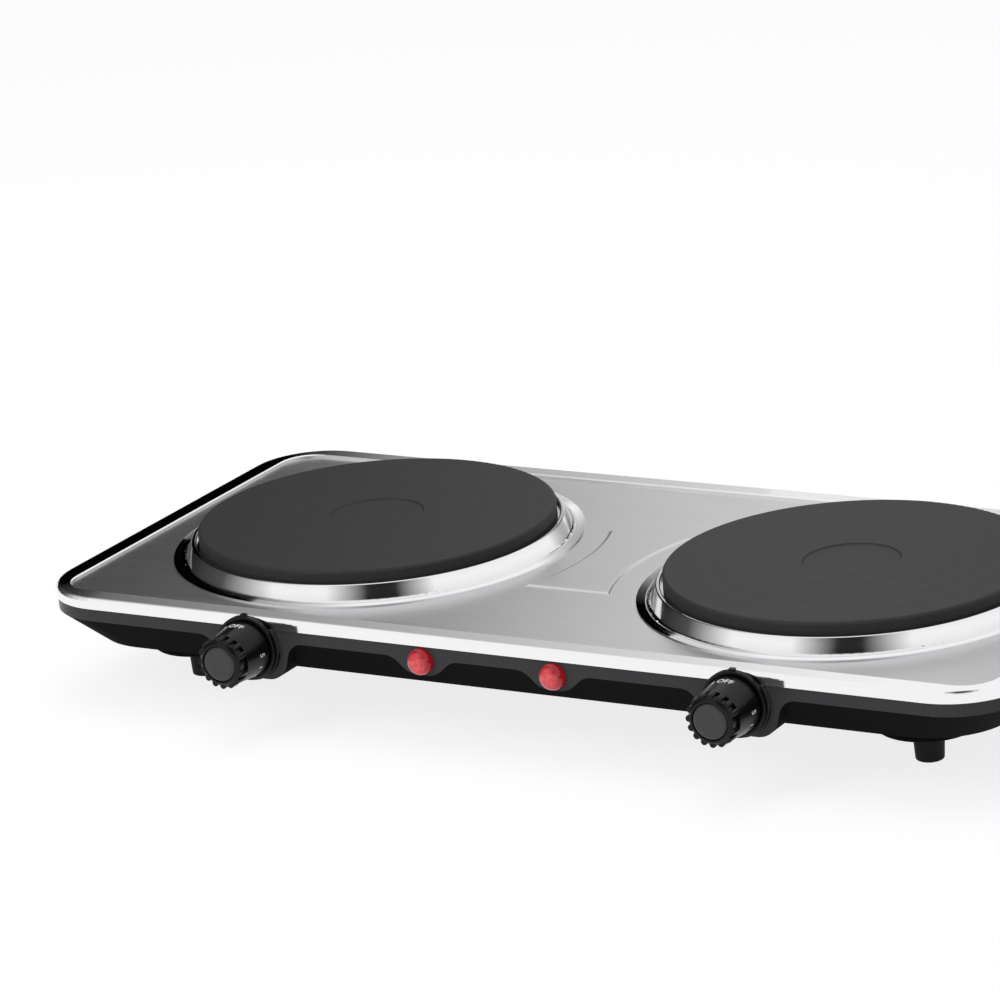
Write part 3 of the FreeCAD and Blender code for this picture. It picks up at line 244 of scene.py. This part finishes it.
def brushed_stainless():
    """Stainless sheet: brushed on the panel, buffed on the border and the rolled edge."""
    material, tree, shader = new_material("stainless_brushed_and_buffed")
    stretch = (1 / STREAK_LENGTH_MM, 1 / STREAK_MM, 1 / STREAK_MM)
    streaks = add(tree, "ShaderNodeTexNoise", {
        "Vector": place(tree, housing, stretch), "Scale": per_length(1), "Detail": 2.0,
    })
    margin = beyond_panel(tree)
    rim = add(tree, "ShaderNodeMath", {0: margin, 1: 0.0}, operation="GREATER_THAN")
    brushed = add(tree, "ShaderNodeMapRange", {
        "Value": streaks.outputs["Fac"],
        "To Min": BRUSHED_ROUGHNESS[0], "To Max": BRUSHED_ROUGHNESS[1],
    })
    roughness = add(tree, "ShaderNodeMix", {
        "Factor": rim.outputs[0], "A": brushed.outputs[0], "B": BUFFED_ROUGHNESS,
    })
    tint = add(tree, "ShaderNodeMix", {
        "Factor": streaks.outputs["Fac"], COLOUR_A: colour("#cfcfd1"), COLOUR_B: colour("#e2e2e3"),
    }, data_type="RGBA")
    edge = add(tree, "ShaderNodeMix", {
        "Factor": rim.outputs[0], COLOUR_A: tint.outputs[COLOUR_MIX], COLOUR_B: colour("#f2f2f3"),
    }, data_type="RGBA")
    shoulder = add(tree, "ShaderNodeMapRange", {
        "Value": beyond_hourglass(tree), "From Min": -SHOULDER, "From Max": SHOULDER / 2,
        "To Min": SHOULDER_RISE, "To Max": 0.0,
    }, interpolation_type="SMOOTHSTEP")
    pressed = add(tree, "ShaderNodeBump", {
        "Height": shoulder.outputs[0], "Strength": 1.0, "Distance": 1.0,
        "Normal": lean(tree, margin, BORDER_LEAN),
    })
    relief = add(tree, "ShaderNodeBump", {
        "Height": streaks.outputs["Fac"], "Strength": 0.05, "Distance": STREAK_DEPTH,
        "Normal": pressed.outputs["Normal"],
    })
    shader.inputs["Metallic"].default_value = 1.0
    tree.links.new(edge.outputs[COLOUR_MIX], shader.inputs["Base Color"])
    tree.links.new(roughness.outputs[0], shader.inputs["Roughness"])
    tree.links.new(relief.outputs["Normal"], shader.inputs["Normal"])
    return material


paint(brushed_stainless(), "top_cover")

# %% [markdown]
# ## Pieces turned or spun on a lathe
#
# The collars are spun from sheet and polished to chrome brightness; the plates are cast iron with a
# turned face. Both carry rings round their own centre: lines in the polish, and a shallow groove from
# the tool on the iron. Rings are a wave texture about an axis moved to the burner's centre, so each
# side has its own copy of the material. Real marks are less than half a millimetre apart and would
# blur away, so they are drawn as broad faint rings. The flat of the collar's flange is given an
# outward lean in the same way as the cover's border, from where the bend at the wall's foot ends.

# %% Chrome collars
RING_MM = 5.65
FLANGE_FLAT = 4.6 * MM
FLANGE_LEAN = 0.38


def polished_chrome(side):
    """Chrome-bright collar: near mirror, with faint rings round the burner and a leaning flange."""
    material, tree, shader = new_material(f"chromed_steel_polished_{side}")
    rings = add(tree, "ShaderNodeTexWave", {
        "Vector": place(tree, burners[side]), "Scale": wave_scale(RING_MM),
        "Distortion": 0.6, "Detail": 2.0,
    }, wave_type="RINGS", rings_direction="Z")
    gloss = add(tree, "ShaderNodeMapRange", {
        "Value": rings.outputs["Fac"], "To Min": 0.05, "To Max": 0.09,
    })
    tint = add(tree, "ShaderNodeMix", {
        "Factor": rings.outputs["Fac"], COLOUR_A: colour("#e6e6e8"), COLOUR_B: colour("#f1f1f2"),
    }, data_type="RGBA")
    low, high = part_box(f"trim_ring_{side}")
    bend_end = (high[0] - low[0]) / 2 - FLANGE_FLAT
    flat = place(tree, burners[side], (1, 1, 0))
    radius = add(tree, "ShaderNodeVectorMath", {0: flat}, operation="LENGTH")
    margin = add(tree, "ShaderNodeMath", {
        0: radius.outputs["Value"], 1: bend_end,
    }, operation="SUBTRACT")
    shader.inputs["Metallic"].default_value = 1.0
    tree.links.new(tint.outputs[COLOUR_MIX], shader.inputs["Base Color"])
    tree.links.new(gloss.outputs[0], shader.inputs["Roughness"])
    tree.links.new(lean(tree, margin.outputs[0], FLANGE_LEAN), shader.inputs["Normal"])
    return material


for side in SIDES:
    paint(polished_chrome(side), f"trim_ring_{side}")

# %% Iron plates
TOOL_MARK_MM = 13.8
CASTING_GRAIN_MM = 0.8


def turned_iron(side):
    """Cast iron with a heat-proof black coat: grainy, dull, with tool marks round the middle."""
    material, tree, shader = new_material(f"cast_iron_turned_{side}")
    centred = place(tree, burners[side])
    rings = add(tree, "ShaderNodeTexWave", {
        "Vector": centred, "Scale": wave_scale(TOOL_MARK_MM), "Distortion": 0.3, "Detail": 1.0,
    }, wave_type="RINGS", rings_direction="Z")
    grain = add(tree, "ShaderNodeTexNoise", {
        "Vector": centred, "Scale": per_length(CASTING_GRAIN_MM), "Detail": 4.0,
    })
    tint = add(tree, "ShaderNodeMix", {
        "Factor": grain.outputs["Fac"], COLOUR_A: colour("#1d1d1e"), COLOUR_B: colour("#333335"),
    }, data_type="RGBA")
    dull = add(tree, "ShaderNodeMapRange", {
        "Value": grain.outputs["Fac"], "To Min": 0.45, "To Max": 0.65,
    })
    height = add(tree, "ShaderNodeMath", {
        0: rings.outputs["Fac"], 1: grain.outputs["Fac"],
    }, operation="ADD")
    relief = add(tree, "ShaderNodeBump", {
        "Height": height.outputs[0], "Strength": 0.6, "Distance": 0.12 * MM,
    })
    shader.inputs["Specular IOR Level"].default_value = 0.25
    tree.links.new(tint.outputs[COLOUR_MIX], shader.inputs["Base Color"])
    tree.links.new(dull.outputs[0], shader.inputs["Roughness"])
    tree.links.new(relief.outputs["Normal"], shader.inputs["Normal"])
    return material


for side in SIDES:
    paint(turned_iron(side), f"hot_plate_{side}")

# %% [markdown]
# ## The moulded base
#
# The base is black phenolic. Its upright band and lobes came off polished steel and shine; the sloping
# wall and the underside came off a spark-eroded face and are dull. They are also painted darker there,
# as painted shade under the base. The direction of the surface tells them apart: the dull, shaded part
# is where it looks downwards.

# %% Black phenolic, polished and eroded, with painted shade below
ERODED_GRAIN_MM = 0.8
# Upward part of a surface's direction where dullness and painted shade start, and where both are full.
DULL_AND_SHADE_START = -0.05
DULL_AND_SHADE_FULL = -0.17


def moulded_base():
    """Black phenolic: shiny where upright; dull and darkened by painted shade where it looks down."""
    material, tree, shader = new_material("phenolic_black_shaded_below")
    facing = add(tree, "ShaderNodeSeparateXYZ", {
        0: add(tree, "ShaderNodeTexCoord").outputs["Normal"],
    })
    eroded_and_shaded = add(tree, "ShaderNodeMapRange", {
        "Value": facing.outputs["Z"], "From Min": DULL_AND_SHADE_START, "From Max": DULL_AND_SHADE_FULL,
    })
    grain = add(tree, "ShaderNodeTexNoise", {
        "Vector": place(tree, housing), "Scale": per_length(ERODED_GRAIN_MM), "Detail": 2.0,
    })
    shine = add(tree, "ShaderNodeMapRange", {
        "Value": grain.outputs["Fac"], "To Min": 0.24, "To Max": 0.30,
    })
    dull = add(tree, "ShaderNodeMix", {
        "Factor": eroded_and_shaded.outputs[0], "A": shine.outputs[0], "B": 0.95,
    })
    # Painted shade: faces that look downwards take the darker colour.
    tint = add(tree, "ShaderNodeMix", {
        "Factor": eroded_and_shaded.outputs[0], COLOUR_A: colour("#38383a"), COLOUR_B: colour("#080809"),
    }, data_type="RGBA")
    depth = add(tree, "ShaderNodeMath", {
        0: grain.outputs["Fac"], 1: eroded_and_shaded.outputs[0],
    }, operation="MULTIPLY")
    relief = add(tree, "ShaderNodeBump", {
        "Height": depth.outputs[0], "Strength": 0.3, "Distance": 0.03 * MM,
    })
    shader.inputs["Specular IOR Level"].default_value = 0.1
    tree.links.new(tint.outputs[COLOUR_MIX], shader.inputs["Base Color"])
    tree.links.new(dull.outputs[0], shader.inputs["Roughness"])
    tree.links.new(relief.outputs["Normal"], shader.inputs["Normal"])
    return material


corner_names = [f"{end}_{side}" for end in ("front", "rear") for side in SIDES]
paint(moulded_base(), "base_tub", *[f"leg_{corner}" for corner in corner_names])

# %% [markdown]
# ## Grained finishes
#
# Most other pieces are moulded, plated, fired or cut from bar. To the eye they differ in colour, in
# how dull they are and in the size of a faint grain, so one recipe covers them: noise of a real size
# moves the colour and the roughness a little and raises the surface by some hundredths of a
# millimetre.

# %% Grained recipe
def grained(name, dark, light, grain_mm, dullness, relief_mm=0.01, metallic=0.0, specular=0.5):
    """A material whose colour and roughness wander with noise of one grain size."""
    material, tree, shader = new_material(name)
    grain = add(tree, "ShaderNodeTexNoise", {
        "Vector": place(tree, housing), "Scale": per_length(grain_mm), "Detail": 3.0,
    })
    tint = add(tree, "ShaderNodeMix", {
        "Factor": grain.outputs["Fac"], COLOUR_A: colour(dark), COLOUR_B: colour(light),
    }, data_type="RGBA")
    dull = add(tree, "ShaderNodeMapRange", {
        "Value": grain.outputs["Fac"], "To Min": dullness[0], "To Max": dullness[1],
    })
    relief = add(tree, "ShaderNodeBump", {
        "Height": grain.outputs["Fac"], "Strength": 0.4, "Distance": relief_mm * MM,
    })
    shader.inputs["Metallic"].default_value = metallic
    shader.inputs["Specular IOR Level"].default_value = specular
    tree.links.new(tint.outputs[COLOUR_MIX], shader.inputs["Base Color"])
    tree.links.new(dull.outputs[0], shader.inputs["Roughness"])
    tree.links.new(relief.outputs["Normal"], shader.inputs["Normal"])
    return material


# Satin black phenolic for what is handled: a fine matt grain from the mould.
control_black = grained(
    "phenolic_black_satin", "#050506", "#0b0b0c", 0.5, (0.24, 0.34), specular=0.22)
paint(control_black, *both("dial_ring", "knob"))

# %% [markdown]
# ## Other moulded pieces
#
# The discs in the knobs are a greyer phenolic with a soft cloudy sheen. The gland and its nut are
# polyamide, a little duller. The feet are black rubber, duller still. The bodies of the
# thermostats and lamp holders are brown phenolic, as electrical fittings often are.

# %% Moulded and rubber pieces
cap_black = grained("phenolic_black_disc", "#242426", "#2e2e30", 4.0, (0.38, 0.46))
paint(cap_black, *both("knob_cap"))
gland_black = grained("polyamide_black", "#141415", "#1e1e20", 0.6, (0.42, 0.58))
paint(gland_black, "cord_gland", "gland_nut")
rubber = grained("rubber_black_moulded", "#101010", "#1c1c1c", 0.7, (0.6, 0.8), 0.03, specular=0.2)
paint(rubber, *[f"foot_{corner}" for corner in corner_names])
phenolic_brown = grained("phenolic_brown", "#2a1a12", "#3a261b", 0.9, (0.4, 0.55))
paint(phenolic_brown, *both("thermostat", "lamp_holder"))

# %% [markdown]
# ## Metal and ceramic pieces
#
# Screws, studs and clips are zinc plated, a pale metal with a soft bloom. Straps and shields are cut
# from galvanised sheet, whose zinc crystals show as patches several millimetres wide. The bushes are
# turned brass. Ceramic parts are fired steatite, and the heating wire lies in packed magnesia, which
# is chalky.

# %% Metal and ceramic pieces inside
zinc = grained("zinc_plated_steel", "#a9abac", "#c6c7c6", 2.5, (0.28, 0.42), metallic=1.0)
paint(zinc, *both("clamp_stud", "spindle"), "clamp_nuts", "lamp_clips", "foot_screws",
      "cover_screws", "weld_nuts")
sheet = grained("galvanised_sheet", "#9ea2a5", "#c3c6c8", 7.0, (0.3, 0.5), metallic=1.0)
paint(sheet, *both("heat_shield", "clamp_strap"))
brass = grained("brass_turned", "#b08d45", "#c9a75c", 1.5, (0.25, 0.38), metallic=1.0)
paint(brass, *both("thermostat_bush"), "thermostat_nuts")
fired_clay = grained("steatite_fired", "#d8d2c4", "#e6e1d6", 1.2, (0.5, 0.65), 0.03)
paint(fired_clay, *both("element_beads"), "terminal_block")
packed_powder = grained("magnesia_packed", "#a89f8c", "#c4bba6", 0.8, (0.75, 0.9), 0.05)
paint(packed_powder, *both("heating_element"))

# %% [markdown]
# ## The pilot lenses
#
# The lenses are red acrylic, moulded clear and tinted right through. Their colour holds painted light:
# a painted glow, bright where the nose looks straight out, and painted shade, deep red round the rim.
# The direction of the surface sets that, noise breaks it up a little, and a small glow stands for the
# lamp behind the lens.

# %% Red acrylic
LENS_GRAIN_MM = 2.2
# Part of a surface's direction along Y, at the lens's rim, where the painted shade is deepest, and at
# its nose, where the painted glow is brightest.
SHADED_RIM_FACING = -0.55
GLOWING_NOSE_FACING = -1.0


def red_acrylic():
    """Tinted acrylic: smooth, partly clear, with a painted glow at its front and painted shade at its
    rim.
    """
    material, tree, shader = new_material("acrylic_red_painted_glow")
    cells = add(tree, "ShaderNodeTexNoise", {
        "Vector": place(tree, housing), "Scale": per_length(LENS_GRAIN_MM), "Detail": 1.0,
    })
    facing = add(tree, "ShaderNodeSeparateXYZ", {
        0: add(tree, "ShaderNodeTexCoord").outputs["Normal"],
    })
    glow_and_shade_mask = add(tree, "ShaderNodeMapRange", {
        "Value": facing.outputs["Y"], "From Min": SHADED_RIM_FACING, "From Max": GLOWING_NOSE_FACING,
    })
    uneven_glow_and_shade = add(tree, "ShaderNodeMath", {
        0: glow_and_shade_mask.outputs[0], 1: cells.outputs["Fac"],
    }, operation="MULTIPLY")
    # Painted glow and shade: this colour, also used for the glow, is pale at the front and deep red at
    # the rim.
    tint = add(tree, "ShaderNodeMix", {
        "Factor": uneven_glow_and_shade.outputs[0], COLOUR_A: colour("#9c0c1c"), COLOUR_B: colour("#ff6a70"),
    }, data_type="RGBA")
    shader.inputs["Roughness"].default_value = 0.08
    shader.inputs["IOR"].default_value = 1.49
    shader.inputs["Transmission Weight"].default_value = 0.4
    shader.inputs["Emission Strength"].default_value = 0.3
    tree.links.new(tint.outputs[COLOUR_MIX], shader.inputs["Base Color"])
    tree.links.new(tint.outputs[COLOUR_MIX], shader.inputs["Emission Color"])
    return material


paint(red_acrylic(), *both("lamp_lens"))

# %% [markdown]
# ## Print on the knobs
#
# Each knob carries white pad print round its tapered skirt: OFF at the top and a scale that comes to
# the pointer as the knob turns clockwise. Flat text is made a mesh first. Then its width is wound
# round the taper as an angle, its height runs along the axis, and its small thickness lies outwards.
# Ink stands a few hundredths of a millimetre proud.

# %% Wind print round a skirt
SKIRT_START = 2.0 * MM
SKIRT_END = 18.5 * MM
SKIRT_RADII = (14.6 * MM, 13.0 * MM)
INK_HALF = 0.04 * MM
LETTER_HEIGHT = 3.6 * MM
TYPE_SIZE = 1.35 * LETTER_HEIGHT
TICK = (0.6 * MM, 2.4 * MM)
PRINT_MIDDLE = 7.0 * MM
TURN = math.radians(270)
SCALE = ("OFF", "1", "2", "3", "4", "5")


def flat_text(words):
    """Vertices and faces of a word as a thin flat solid, centred on the origin."""
    curve = bpy.data.curves.new("word", "FONT")
    curve.body = words
    curve.align_x = "CENTER"
    curve.align_y = "CENTER"
    curve.size = TYPE_SIZE
    curve.extrude = INK_HALF
    curve.resolution_u = 3
    holder = bpy.data.objects.new("word", curve)
    bpy.context.scene.collection.objects.link(holder)
    shaped = holder.evaluated_get(bpy.context.evaluated_depsgraph_get())
    mesh = bpy.data.meshes.new_from_object(shaped)
    points = np.empty(len(mesh.vertices) * 3)
    mesh.vertices.foreach_get("co", points)
    faces = [tuple(face.vertices) for face in mesh.polygons]
    bpy.data.meshes.remove(mesh)
    bpy.data.objects.remove(holder)
    bpy.data.curves.remove(curve)
    return points.reshape(-1, 3), faces


def flat_tick(width, height):
    """Vertices and faces of a small flat bar, as thick as the words."""
    signs = np.array([(x, y, z) for z in (-1, 1) for y in (-1, 1) for x in (-1, 1)], float)
    faces = [(0, 2, 3, 1), (4, 5, 7, 6), (0, 1, 5, 4), (2, 6, 7, 3), (0, 4, 6, 2), (1, 3, 7, 5)]
    return signs * (width / 2, height / 2, INK_HALF), faces


def wind(points, axis, back, angle):
    """Wind flat points round the taper.

    A point's height moves it from the print's middle towards the back of the knob, which sets the
    radius on the taper. Its width over that radius is added to the angle, counted clockwise from
    the top as seen from the front. Its thickness is added to the radius, with a quarter of the ink
    sunk in the skirt.
    """
    depth = PRINT_MIDDLE - points[:, 1]
    along = (depth - SKIRT_START) / (SKIRT_END - SKIRT_START)
    radius = SKIRT_RADII[0] + along * (SKIRT_RADII[1] - SKIRT_RADII[0])
    turn = angle + points[:, 0] / radius
    reach = radius + points[:, 2] + INK_HALF / 2
    return np.column_stack((
        axis[0] + reach * np.sin(turn), back - depth, axis[2] + reach * np.cos(turn),
    ))


print("type size", round(TYPE_SIZE / MM, 2), "mm for", ", ".join(SCALE))

# %% Print both knobs
ink_white = grained("pad_print_white", "#d9d9d8", "#ececea", 0.4, (0.45, 0.6), 0.003)


def knob_print(side):
    """All words and ticks of one knob as a single mesh."""
    axis = middle(f"spindle_{side}")
    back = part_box(f"knob_{side}")[1][1]
    step = TURN / (len(SCALE) - 1)
    marks = [(flat_text(word), -index * step) for index, word in enumerate(SCALE)]
    tick = flat_tick(*TICK)
    marks += [(tick, -(index + 0.5) * step) for index in range(len(SCALE) - 1)]
    vertices, faces = [], []
    for (points, mark_faces), angle in marks:
        first = sum(len(block) for block in vertices)
        vertices.append(wind(points, axis, back, angle))
        faces += [tuple(corner + first for corner in face) for face in mark_faces]
    mesh = bpy.data.meshes.new(f"knob_print_{side}")
    mesh.from_pydata(np.concatenate(vertices).tolist(), [], faces)
    mesh.materials.append(ink_white)
    piece = bpy.data.objects.new(f"knob_print_{side}", mesh)
    bpy.context.scene.collection.objects.link(piece)
    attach(piece, f"control_{side}")
    print(piece.name, len(mesh.vertices), "points")


for side in SIDES:
    knob_print(side)

# %% [markdown]
# ## The studio
#
# A wide pale floor fills the view. Steel is only as good as what it mirrors, so the room is white and
# a few cards stand outside the view. One on the left fades from dark to light towards the rear, which
# gives the flat panel its sweep from dark to bright. Three soft dark ones, in front, on the left and
# behind, draw the black bands in the chrome and a dark line along the hourglass. Cards are seen in
# reflections only.

# %% Floor
FLOOR_REACH = 6.0
FLOOR_GLOW = 0.82
SQUARE = ((-1, -1), (1, -1), (1, 1), (-1, 1))


def flat_sheet(name, corners, material):
    """A four-cornered sheet, its corners given anticlockwise as seen from its front."""
    mesh = bpy.data.meshes.new(name)
    mesh.from_pydata(corners, [], [(0, 1, 2, 3)])
    mesh.materials.append(material)
    item = bpy.data.objects.new(name, mesh)
    bpy.context.scene.collection.objects.link(item)
    return item


def background_rays(tree):
    """One for rays from the camera, and for rays mirrored or let through by the object."""
    path = add(tree, "ShaderNodeLightPath")
    seen = add(tree, "ShaderNodeMath", {
        0: path.outputs["Is Camera Ray"], 1: path.outputs["Is Glossy Ray"],
    }, operation="MAXIMUM")
    return add(tree, "ShaderNodeMath", {
        0: seen.outputs[0], 1: path.outputs["Is Transmission Ray"],
    }, operation="MAXIMUM").outputs[0]


def pale_floor():
    """A matt white floor that looks white to the eye and still takes a soft shadow."""
    material, tree, shader = new_material("floor_paper_white")
    shader.inputs["Base Color"].default_value = colour("#f4f4f4")
    shader.inputs["Roughness"].default_value = 0.9
    shader.inputs["Specular IOR Level"].default_value = 0.0
    glow = add(tree, "ShaderNodeEmission", {"Color": (1, 1, 1, 1), "Strength": 1.0})
    share = add(tree, "ShaderNodeMath", {
        0: background_rays(tree), 1: FLOOR_GLOW,
    }, operation="MULTIPLY")
    mixed = add(tree, "ShaderNodeMixShader", {
        0: share.outputs[0], 1: shader.outputs["BSDF"], 2: glow.outputs[0],
    })
    tree.links.new(mixed.outputs[0], tree.nodes["Material Output"].inputs["Surface"])
    return material


flat_sheet("floor", [(FLOOR_REACH * x, FLOOR_REACH * y, 0) for x, y in SQUARE], pale_floor())
print("floor", 2 * FLOOR_REACH, "m wide")

# %% Left card
SWEEP_X = -0.75
SWEEP_TOP = 0.8
# Shades of the card at places along Y.
SWEEP_SHADES = [(-0.8, 1.0), (-0.2, 0.08), (0.3, 0.0), (0.82, 0.0), (0.95, 0.08), (1.1, 0.41),
                (1.3, 0.56), (1.7, 0.85)]
SWEEP_ENDS = (SWEEP_SHADES[0][0], SWEEP_SHADES[-1][0])


def card_paint(name, measure, shades):
    """A glowing card whose shade follows a measure of place, made by a function of the node tree."""
    material, tree, _ = new_material(name)
    ramp = add(tree, "ShaderNodeValToRGB", {"Fac": measure(tree)})
    stops = ramp.color_ramp.elements
    for index, (spot, shade) in enumerate(shades):
        stop = stops[index] if index < len(stops) else stops.new(spot)
        stop.position = spot
        stop.color = (shade, shade, shade, 1)
    glow = add(tree, "ShaderNodeEmission", {"Color": ramp.outputs["Color"], "Strength": 1.0})
    tree.links.new(glow.outputs[0], tree.nodes["Material Output"].inputs["Surface"])
    return material


def rearwards(tree):
    """How far a place is along the left card, from 0 at its front to 1 at its rear."""
    where = add(tree, "ShaderNodeSeparateXYZ", {0: place(tree)})
    return add(tree, "ShaderNodeMapRange", {
        "Value": where.outputs["Y"], "From Min": SWEEP_ENDS[0], "From Max": SWEEP_ENDS[1],
    }).outputs[0]


length = SWEEP_ENDS[1] - SWEEP_ENDS[0]
sweep_stops = [((spot - SWEEP_ENDS[0]) / length, shade) for spot, shade in SWEEP_SHADES]
card_left = flat_sheet(
    "card_left",
    [(SWEEP_X, SWEEP_ENDS[0], 0), (SWEEP_X, SWEEP_ENDS[1], 0),
     (SWEEP_X, SWEEP_ENDS[1], SWEEP_TOP), (SWEEP_X, SWEEP_ENDS[0], SWEEP_TOP)],
    card_paint("card_left", rearwards, sweep_stops),
)
print(card_left.name, length, "m long")

# %% Soft dark cards
# Shades of a card at shares of its reach.
FLAG_SHADES = [(0.0, 0.02), (0.25, 0.02), (1.0, 1.0)]


def direction(azimuth, elevation):
    """Unit vector at an angle round from the front, towards the right, and at one above the floor."""
    return Vector((
        math.sin(azimuth) * math.cos(elevation),
        -math.cos(azimuth) * math.cos(elevation),
        math.sin(elevation),
    ))


def sideways(azimuth):
    """Level unit vector to the right of one who looks at the object from an angle round it."""
    return Vector((math.cos(azimuth), math.sin(azimuth), 0))


def soft_flag(name, azimuth, elevation, distance, reach):
    """A square card that faces the object: black in its middle, fading to white at its reach.

    The card's centre lies in a direction given in degrees, by an angle round from the front and one
    above the floor. Its sides are level and square to that direction. The shade follows the
    distance from the centre.
    """
    towards = direction(math.radians(azimuth), math.radians(elevation))
    level = sideways(math.radians(azimuth))
    upward = towards.cross(level)
    centre = housing + towards * distance
    spread = [centre + level * reach * right + upward * reach * up for right, up in SQUARE]

    def outwards(tree):
        return add(tree, "ShaderNodeVectorMath", {
            0: place(tree, centre, (1 / reach,) * 3),
        }, operation="LENGTH").outputs["Value"]

    return flat_sheet(name, spread, card_paint(name, outwards, FLAG_SHADES))


cards = [
    card_left,
    soft_flag("card_front", azimuth=27, elevation=39, distance=2.0, reach=1.1),
    soft_flag("card_side", azimuth=-90, elevation=34, distance=1.6, reach=1.2),
    soft_flag("card_rear", azimuth=180, elevation=16, distance=1.8, reach=0.85),
]
for card in cards:
    card.visible_camera = False
    card.visible_diffuse = False
    card.visible_shadow = False
print("cards:", ", ".join(card.name for card in cards))

# %% [markdown]
# ## Light and camera
#
# The world is white to the eye and to the metal, and gives a soft even light. Two large area lamps
# add a gentle direction from above, and stay out of reflections. The camera stands to the right of
# the front and a little above, with a long lens and a slight tilt.

# %% World and lamps
SKY_LIGHT = 0.62
SKY_SEEN = 1.0
world = bpy.data.worlds.new("studio")
bpy.context.scene.world = world
world.use_nodes = True
sky = world.node_tree
sky.nodes.clear()
level = add(sky, "ShaderNodeMapRange", {
    "Value": background_rays(sky), "To Min": SKY_LIGHT, "To Max": SKY_SEEN,
})
air = add(sky, "ShaderNodeBackground", {"Color": (1, 1, 1, 1), "Strength": level.outputs[0]})
add(sky, "ShaderNodeOutputWorld", {"Surface": air.outputs[0]})


def softbox(name, position, target, size, watts):
    """A square area lamp at a position, turned to a target and left out of reflections."""
    lamp = bpy.data.lights.new(name, "AREA")
    lamp.size = size
    lamp.energy = watts
    item = bpy.data.objects.new(name, lamp)
    item.location = position
    item.rotation_euler = (Vector(target) - Vector(position)).to_track_quat("-Z", "Y").to_euler()
    item.visible_glossy = False
    bpy.context.scene.collection.objects.link(item)
    print(name, watts, "W")


softbox("softbox_front", (-1.1, -1.5, 1.8), housing, size=1.4, watts=24)
softbox("softbox_top", (-0.3, 0.3, 2.2), housing, size=1.6, watts=20)

# %% Camera
CAMERA_AZIMUTH = math.radians(31.35)
CAMERA_ELEVATION = math.radians(17.59)
CAMERA_ROLL = math.radians(-5.07)
CAMERA_DISTANCE = 2418.64 * MM
CAMERA_SLIDE = (-55.71 * MM, 31.71 * MM)
SENSOR_MM = 36.0
LENS_MM = 171.81

across = sideways(CAMERA_AZIMUTH)
back = direction(CAMERA_AZIMUTH, CAMERA_ELEVATION)
upright = back.cross(across)
right = across * math.cos(CAMERA_ROLL) + upright * math.sin(CAMERA_ROLL)
up = upright * math.cos(CAMERA_ROLL) - across * math.sin(CAMERA_ROLL)
aim = Vector((housing.x, housing.y, panel_z))
stand = aim + back * CAMERA_DISTANCE + right * CAMERA_SLIDE[0] + up * CAMERA_SLIDE[1]

view = bpy.data.cameras.new("camera")
view.sensor_width = SENSOR_MM
view.lens = LENS_MM
camera = bpy.data.objects.new("camera", view)
turn = Matrix((right, up, back)).transposed().to_4x4()
camera.matrix_world = Matrix.Translation(stand) @ turn
bpy.context.scene.collection.objects.link(camera)
bpy.context.scene.camera = camera
bpy.context.scene.view_settings.view_transform = "Standard"
print("camera at", [round(value, 3) for value in stand])
